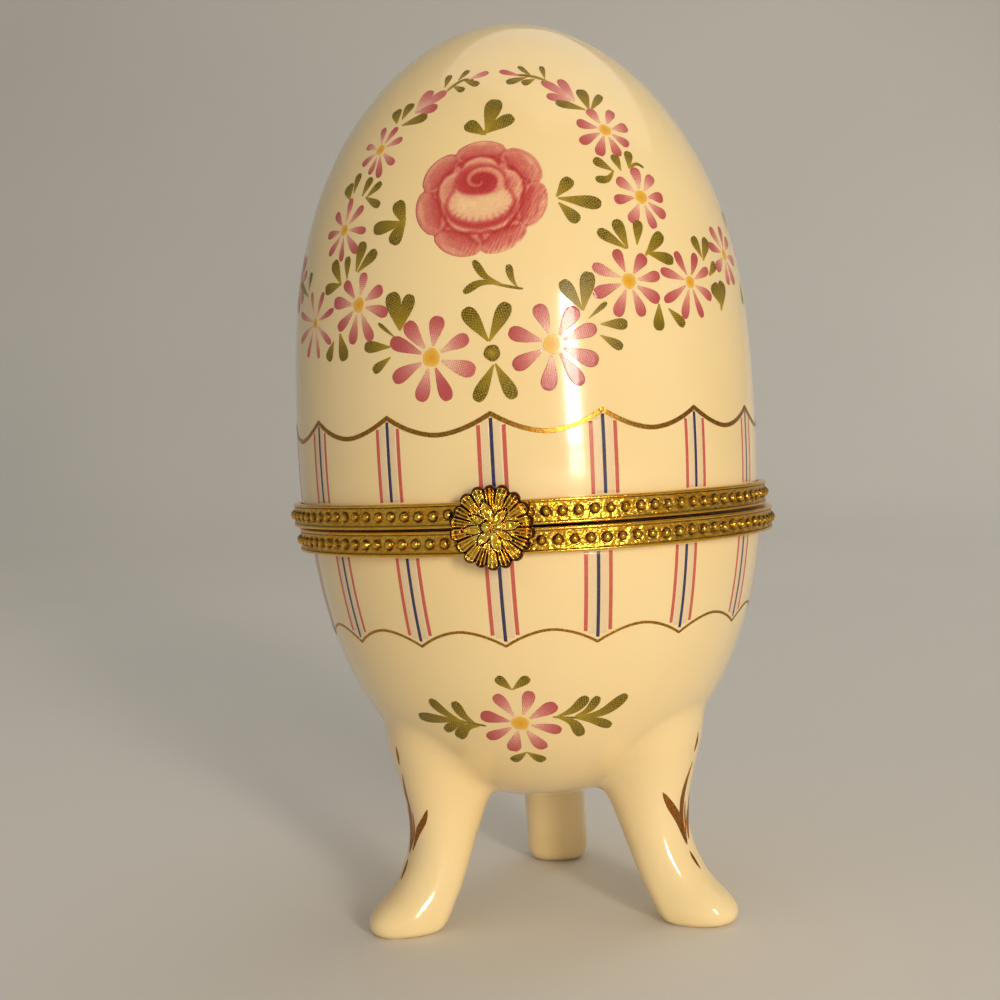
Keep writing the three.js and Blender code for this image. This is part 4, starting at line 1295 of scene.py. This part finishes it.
def leaf_at(p, az, z, angle, length, width, kind="leaf"):
    """A leaf from a place, towards an angle on the surface."""
    s = at_height(z) + length * math.sin(math.radians(angle))
    z1 = float(np.interp(s, MS, MZ))
    a1 = az + math.degrees(length * math.cos(math.radians(angle)) / float(egg_radius(z1)))
    p.spray(kind, [(az, z), (a1, z1)], width)


def soft(x):
    x = np.clip(x, 0, 1)
    return x * x * (3 - 2 * x)


def smooth_loop(o, n):
    """n points round a smooth closed curve through the points o, anticlockwise."""
    o = np.asarray(o, float)
    if np.sum(o[:, 0] * np.roll(o[:, 1], -1) - np.roll(o[:, 0], -1) * o[:, 1]) < 0:
        o = o[::-1]
    t = np.arange(n) * len(o) / n
    k = t.astype(int)
    w = (t - k)[:, None]
    p0, p1, p2, p3 = (o[(k + j) % len(o)] for j in (-1, 0, 1, 2))
    return 0.5 * (2 * p1 + (p2 - p0) * w + (2 * p0 - 5 * p1 + 4 * p2 - p3) * w ** 2 + (3 * p1 - p0 - 3 * p2 + p3) * w ** 3)


def rose_tone(xy):
    """How deep the crimson lies at each place: the strokes of ROSE laid wet on one another, edges feathered."""
    tone = np.full(len(xy), 0.48)
    for kind, pts, more, tones, soften in ROSE[1:]:
        if kind == "strip":
            t = np.linspace(0, 1, 160)
            spine = curve_through(pts, t)
            tangent = np.gradient(spine, axis=0)
            tangent /= np.linalg.norm(tangent, axis=1, keepdims=True)
            half = np.interp(t, *zip(*more)) / 2
            reach = half.max() + 0.7
            near = np.flatnonzero((xy > spine.min(0) - reach).all(1) & (xy < spine.max(0) + reach).all(1))
            if not len(near):
                continue
            p = xy[near]
            d = p[:, None, :] - spine[None]
            k = np.argmin((d ** 2).sum(-1), 1)
            d = d[np.arange(len(k)), k]
            side = -tangent[k, 1] * d[:, 0] + tangent[k, 0] * d[:, 1]
            past = tangent[k, 0] * d[:, 0] + tangent[k, 1] * d[:, 1]
            h = half[k]
            feather = np.minimum(0.44, h * 0.9) * soften
            a = soft((h + feather * 0.45 - np.abs(side)) / feather) * soft((0.12 + feather * 0.4 - np.abs(past)) / 0.35)
            s, w = np.clip(side / h, -1, 1), t[k]
            (a0, a1, a2), (b0, b1, b2) = tones
            lo = np.where(s < 0, a1 + (a0 - a1) * -s, a1 + (a2 - a1) * s)
            hi = np.where(s < 0, b1 + (b0 - b1) * -s, b1 + (b2 - b1) * s)
            value = lo * (1 - w) + hi * w
        else:
            o = smooth_loop(np.array(pts), 260)
            near = np.arange(len(xy))
            d, _ = to_edge(xy, o)
            deep = d.max()
            a = soft((d + 0.22 * soften) / (0.5 * soften))
            value = tones[0] + (tones[1] - tones[0]) * np.clip(1 - d / deep, 0, 1) ** 2
        tone[near] += (value - tone[near]) * a
    return tone


def to_edge(xy, loop):
    """Distance of each place from a closed line, positive inside it, and the nearest place on the line."""
    a, b = loop, np.roll(loop, -1, 0)
    best = np.full(len(xy), 1e9)
    foot = np.zeros_like(xy)
    inside = np.zeros(len(xy), bool)
    for i in range(0, len(xy), 4000):
        p = xy[i:i + 4000, None, :]
        e = (b - a)[None]
        t = np.clip(((p - a) * e).sum(-1) / np.maximum((e ** 2).sum(-1), 1e-12), 0, 1)
        q = a + t[..., None] * e
        d2 = ((p - q) ** 2).sum(-1)
        k = np.argmin(d2, 1)
        r = np.arange(len(k))
        best[i:i + 4000], foot[i:i + 4000] = np.sqrt(d2[r, k]), q[r, k]
        y = p[..., 1]
        cross = (a[:, 1] > y) != (b[:, 1] > y)
        x = a[:, 0] + (y - a[:, 1]) / np.where(b[:, 1] == a[:, 1], 1e-12, b[:, 1] - a[:, 1]) * (b[:, 0] - a[:, 0])
        inside[i:i + 4000] = (cross & (p[..., 0] < x)).sum(1) % 2 == 1
    return np.where(inside, best, -best), foot


def rose(body):
    """One patch with the rose's outline, on a grid fine enough to carry its shading."""
    chart = Chart(body, *ROSE_AT)
    loop = smooth_loop(np.array(ROSE[0][1]), 420)
    h = 0.12
    lo, hi = loop.min(0) - h, loop.max(0) + h
    gx, gy = np.arange(lo[0], hi[0] + h, h), np.arange(lo[1], hi[1] + h, h)
    grid = np.stack(np.meshgrid(gx, gy, indexing="ij"), -1)
    d, foot = to_edge(grid.reshape(-1, 2), loop)
    index = np.arange(len(d)).reshape(len(gx), len(gy))
    use = d > -0.5 * h
    quads = np.stack([index[:-1, :-1], index[1:, :-1], index[1:, 1:], index[:-1, 1:]], -1).reshape(-1, 4)
    kept = [tuple(q) for q in quads[use[quads].sum(1) == 4]]
    for q in quads[use[quads].sum(1) == 3]:
        kept.append(tuple(i for i in q if use[i]))
    edges = {}
    for f in kept:
        for i, j in zip(f, f[1:] + f[:1]):
            edges[(int(i), int(j))] = True
    rim_edges = [(i, j) for i, j in edges if (j, i) not in edges]
    border = np.unique([i for e in rim_edges for i in e])
    used = np.unique(np.concatenate([np.array(f) for f in kept]))
    new = np.full(len(d), -1)
    new[used] = np.arange(len(used))
    xy = grid.reshape(-1, 2).copy()
    xy[border] = foot[border]
    d[border] = 0.0
    xy, d = xy[used], np.maximum(d[used], 0)
    tone = rose_tone(xy)
    # a darker contour on the shaded side, and a softer, paler edge elsewhere
    left = np.clip(0.45 - xy[:, 0] / 9.0 + xy[:, 1] / 40.0, 0, 1)
    tone = tone * (1 - (1 - left) * 0.42 * (1 - soft(d / 0.30))) + left * 0.16 * (1 - soft(d / 0.22))
    hatch = np.clip((xy[:, 0] - 0.5) / 3.0, 0, 1) * np.clip((4.6 - xy[:, 1]) / 2.0, 0, 1) + np.clip((-5.2 - xy[:, 1]) / 1.4, 0, 1) * 0.8
    hatch = hatch * np.clip((tone - 0.12) / 0.2, 0, 1)
    up = 0.004 + 0.024 * soft(d / 0.25)
    n = len(used)
    v = np.concatenate([chart.place(xy, up), chart.place(xy, np.full(n, -0.07))])
    f = [tuple(int(new[i]) for i in q) for q in kept]
    f += [tuple(n + i for i in reversed(q)) for q in f]
    f += [(int(new[j]), int(new[i]), n + int(new[i]), n + int(new[j])) for i, j in rim_edges]
    two = lambda a: np.concatenate([a, a])
    make_object(body + "_painted_rose", v, f, body, ROSE_MATERIAL,
                {"tone": two(tone), "across": two(np.clip(hatch, 0, 1)), "x_mm": two(xy[:, 0]), "y_mm": two(xy[:, 1])})


def lid_painting():
    p = Painting("lid")
    for kind, places, width in LID_SPRAYS:
        p.spray(kind, places, width)
    for d in LID_DAISIES:
        p.daisy(*d)
    # the swags at the sides, and a plainer one round the back
    for az, z, size, turn in ((-19.9, 88.6, 4.3, 80), (-157.6, 88.4, 4.3, 100), (4.0, 90.5, 4.0, 60), (176.0, 90.5, 4.0, 35), (27.0, 86.0, 4.4, 75),
                              (153.0, 86.0, 4.4, 15), (48.5, 80.6, 4.8, 95), (131.5, 80.6, 4.8, 40), (74.0, 77.0, 5.2, 70), (106.0, 77.0, 5.2, 25)):
        p.round_daisy(az, z, size, turn)
    for side in (-1, 1):
        for az, z, angle, length, width in ((16.0, 92.6, 70, 3.0, 1.3), (12.5, 86.8, -100, 3.2, 1.4), (15.5, 86.6, -65, 3.0, 1.3), (37.0, 87.3, 60, 3.6, 1.6),
                                            (35.5, 87.2, 110, 3.2, 1.4), (36.5, 80.6, -95, 3.4, 1.5), (60.0, 82.0, 62, 3.8, 1.7), (59.0, 82.0, 112, 3.6, 1.6),
                                            (62.0, 74.8, -120, 3.4, 1.4), (90.6, 79.6, 58, 5.0, 1.9), (90.2, 76.0, -62, 4.6, 1.7),
                                            (-9.0, 92.4, 75, 3.0, 1.3), (-8.5, 85.6, -95, 3.2, 1.4)):
            a = az if side > 0 else 180 - az
            leaf_at(p, a, z, angle if side > 0 else 180 - angle, length, width)
        # the wreath's arms at the back of each side daisy
        a = 4.0 if side > 0 else 176.0
        leaf_at(p, a, 95.5, 90, 3.6, 1.5)
        leaf_at(p, a, 95.3, 90 + 42, 3.0, 1.3)
        leaf_at(p, a, 95.3, 90 - 42, 3.0, 1.3)
    spot_az = 90.0
    p.spray("dot", [(spot_az, 77.9)], 1.7)
    p.round_daisy(90.0, 96.5, 4.6, 68)
    for angle in (90, 52, 128):
        leaf_at(p, 90.0, 102.4, angle, 3.6, 1.5)
    for s in (-1, 1):
        leaf_at(p, 90.0 + s * 15.5, 96.5, 90 - s * 90, 4.6, 1.6)
        leaf_at(p, 90.0 + s * 15.0, 97.4, 90 - s * 48, 3.4, 1.4)
        leaf_at(p, 90.0 + s * 15.0, 95.6, 90 - s * 132, 3.4, 1.4)
    p.done()
    rose("lid")
    height, cusps = arcs(spread((-139.2, -114.5, -89.75, -65.35, -41.1, -17.6), 15), lambda a: 68.9 + 0.4 * math.cos(math.radians(a + 160)), 2.35, 1)
    banding("lid", cusps, height, 1, 0.60, SEAM + 3.05, GILT)


def base_painting():
    p = Painting("base")
    for shift in (0.0, 125.5, -115.5):
        for kind, places, width in BASE_SPRAYS:
            p.spray(kind, [(a + shift, z) for a, z in places], width)
        for d in BASE_DAISIES:
            p.daisy(d[0] + shift, *d[1:])
    p.done()
    height, cusps = arcs(spread((-136.1, -113.4, -91.0, -68.65, -45.7, -22.1), 16), lambda a: 40.45 + 0.1 * math.cos(math.radians(a + 40)), 1.9, -1)
    banding("base", cusps, height, -1, 0.36, SEAM - 3.05, GILT)
    heap = Heap("along", "across", "x_mm", "y_mm", "seed")
    for i, angle in enumerate(FOOT_ANGLES):
        chart = LegChart(angle)
        for pts, width in (([(0.25, 22.8), (0.62, 24.2), (0.72, 25.5)], 0.62), ([(-0.5, 10.4), (-0.75, 15.5), (-0.55, 18.6), (0.35, 21.6)], 1.0),
                           ([(-0.65, 10.3), (-1.3, 13.6), (-3.0, 16.4), (-4.0, 18.1)], 1.25), ([(-0.45, 10.7), (0.1, 13.4), (0.15, 16.2)], 0.42),
                           ([(0.2, 10.8), (1.0, 13.3), (2.4, 15.3), (3.2, 16.9)], 1.05), ([(-0.25, 7.1), (-0.4, 8.2), (-0.62, 9.6)], 0.6)):
            stroke(heap, chart, pts, width, "blade", n=22, m=7, lift=0.03, seed=i * 5.0 + width)
    heap.done("base_gilt_foot_strokes", "base", "porcelain_base", GILT_BROWN)


lid_painting()
base_painting()


# ---------- camera, light and floor ----------
def camera():
    cam = bpy.data.cameras.new("camera")
    cam.sensor_fit, cam.sensor_width, cam.lens = "HORIZONTAL", 36.0, 36.0 * 1469.9921 / 1000.0
    cam.clip_start, cam.clip_end = 0.01, 20.0
    obj = bpy.data.objects.new("camera", cam)
    right = Vector((0.9872007866083982, 0.15138665240232846, -0.05016660636495843))
    forward = Vector((-0.15331055836973526, 0.987485064697397, -0.037001617423264986))
    up = Vector((0.04393722353677006, 0.044219096259356695, 0.9980552048428413))
    m = Matrix.Identity(4)
    for i in range(3):
        m[i][0], m[i][1], m[i][2] = right[i], up[i], -forward[i]
    m[0][3], m[1][3], m[2][3] = 0.02749944798, -0.20622053117, 0.06512683587
    obj.matrix_world = m
    bpy.context.scene.collection.objects.link(obj)
    bpy.context.scene.camera = obj


def panel(name, at, towards, width, height, power, colour):
    d = bpy.data.lights.new(name, "AREA")
    d.shape, d.size, d.size_y, d.energy, d.color = "RECTANGLE", width, height, power, colour
    o = bpy.data.objects.new(name, d)
    direction = (Vector(towards) - Vector(at)).normalized()
    o.matrix_world = Matrix.Translation(Vector(at)) @ direction.to_track_quat("-Z", "Y").to_matrix().to_4x4()
    bpy.context.scene.collection.objects.link(o)
    return o


def studio():
    # floor and a curved backdrop in one sheet
    span, back = 12.0, 1.3
    prof = [(-12.0, 0.0), (back - 0.5, 0.0)] + [(back - 0.5 + 0.5 * math.sin(q), 0.5 - 0.5 * math.cos(q)) for q in np.linspace(0.15, np.pi / 2, 12)] + [(back, 4.0)]
    v = [(x, y, z) for y, z in prof for x in (-span, span)]
    f = [(2 * i, 2 * i + 1, 2 * i + 3, 2 * i + 2) for i in range(len(prof) - 1)]
    mesh = bpy.data.meshes.new("floor")
    mesh.from_pydata(v, [], f)
    mesh.polygons.foreach_set("use_smooth", np.ones(len(mesh.polygons), bool))
    k = Look("pale_floor", Roughness=0.75)
    k.colour(k.mix(k.remap(k.noise(3.0, 2.0), 0.3, 0.7, 0, 1), srgb(228, 225, 219), srgb(233, 230, 224)))
    mesh.materials.append(k.m)
    o = bpy.data.objects.new("floor", mesh)
    bpy.context.scene.collection.objects.link(o)
    world = bpy.data.worlds.new("studio")
    bpy.context.scene.world = world
    world.use_nodes = True
    bg = world.node_tree.nodes["Background"]
    bg.inputs[0].default_value = (1.0, 0.97, 0.92, 1)
    bg.inputs[1].default_value = 0.27
    # key: its reflection is the upright highlight on the right of the lid
    cam = bpy.context.scene.camera.matrix_world.translation

    def mirrored(az, z, away):
        p, n = skin_point("lid", np.array(math.radians(az)), np.array(float(at_height(z))))
        p, n = Vector([float(x) * MM for x in p]), Vector([float(x) for x in n])
        view = (cam - p).normalized()
        return p + (2 * n.dot(view) * n - view).normalized() * away, p

    at, p = mirrored(-71.8, 76.0, 0.95)
    panel("key", at, p, 0.10, 0.32, 4.2, (1.0, 0.90, 0.74))
    # and a small low one, whose reflection lies on the rims beside the flower
    at, p = mirrored(-71.5, 60.0, 0.8)
    panel("glint", at, p, 0.10, 0.14, 0.5, (1.0, 0.90, 0.74))
    front = panel("front", (0.45, -0.95, 0.30), (0, 0, 0.07), 0.5, 0.5, 2.1, (1.0, 0.91, 0.77))
    front.visible_glossy = False
    panel("fill", (-1.0, -0.9, 0.6), (0, 0, 0.06), 1.3, 1.3, 0.35, (1.0, 0.96, 0.90))
    panel("top", (0.25, 0.35, 1.3), (0, 0, 0.05), 1.4, 1.4, 2.9, (1.0, 0.95, 0.86))
    back_light = panel("back", (0.7, 0.9, 0.6), (0, 0, 0.07), 0.6, 0.6, 1.3, (1.0, 0.95, 0.88))
    back_light.visible_glossy = False


camera()
studio()
bpy.context.scene.view_settings.view_transform = "Standard"
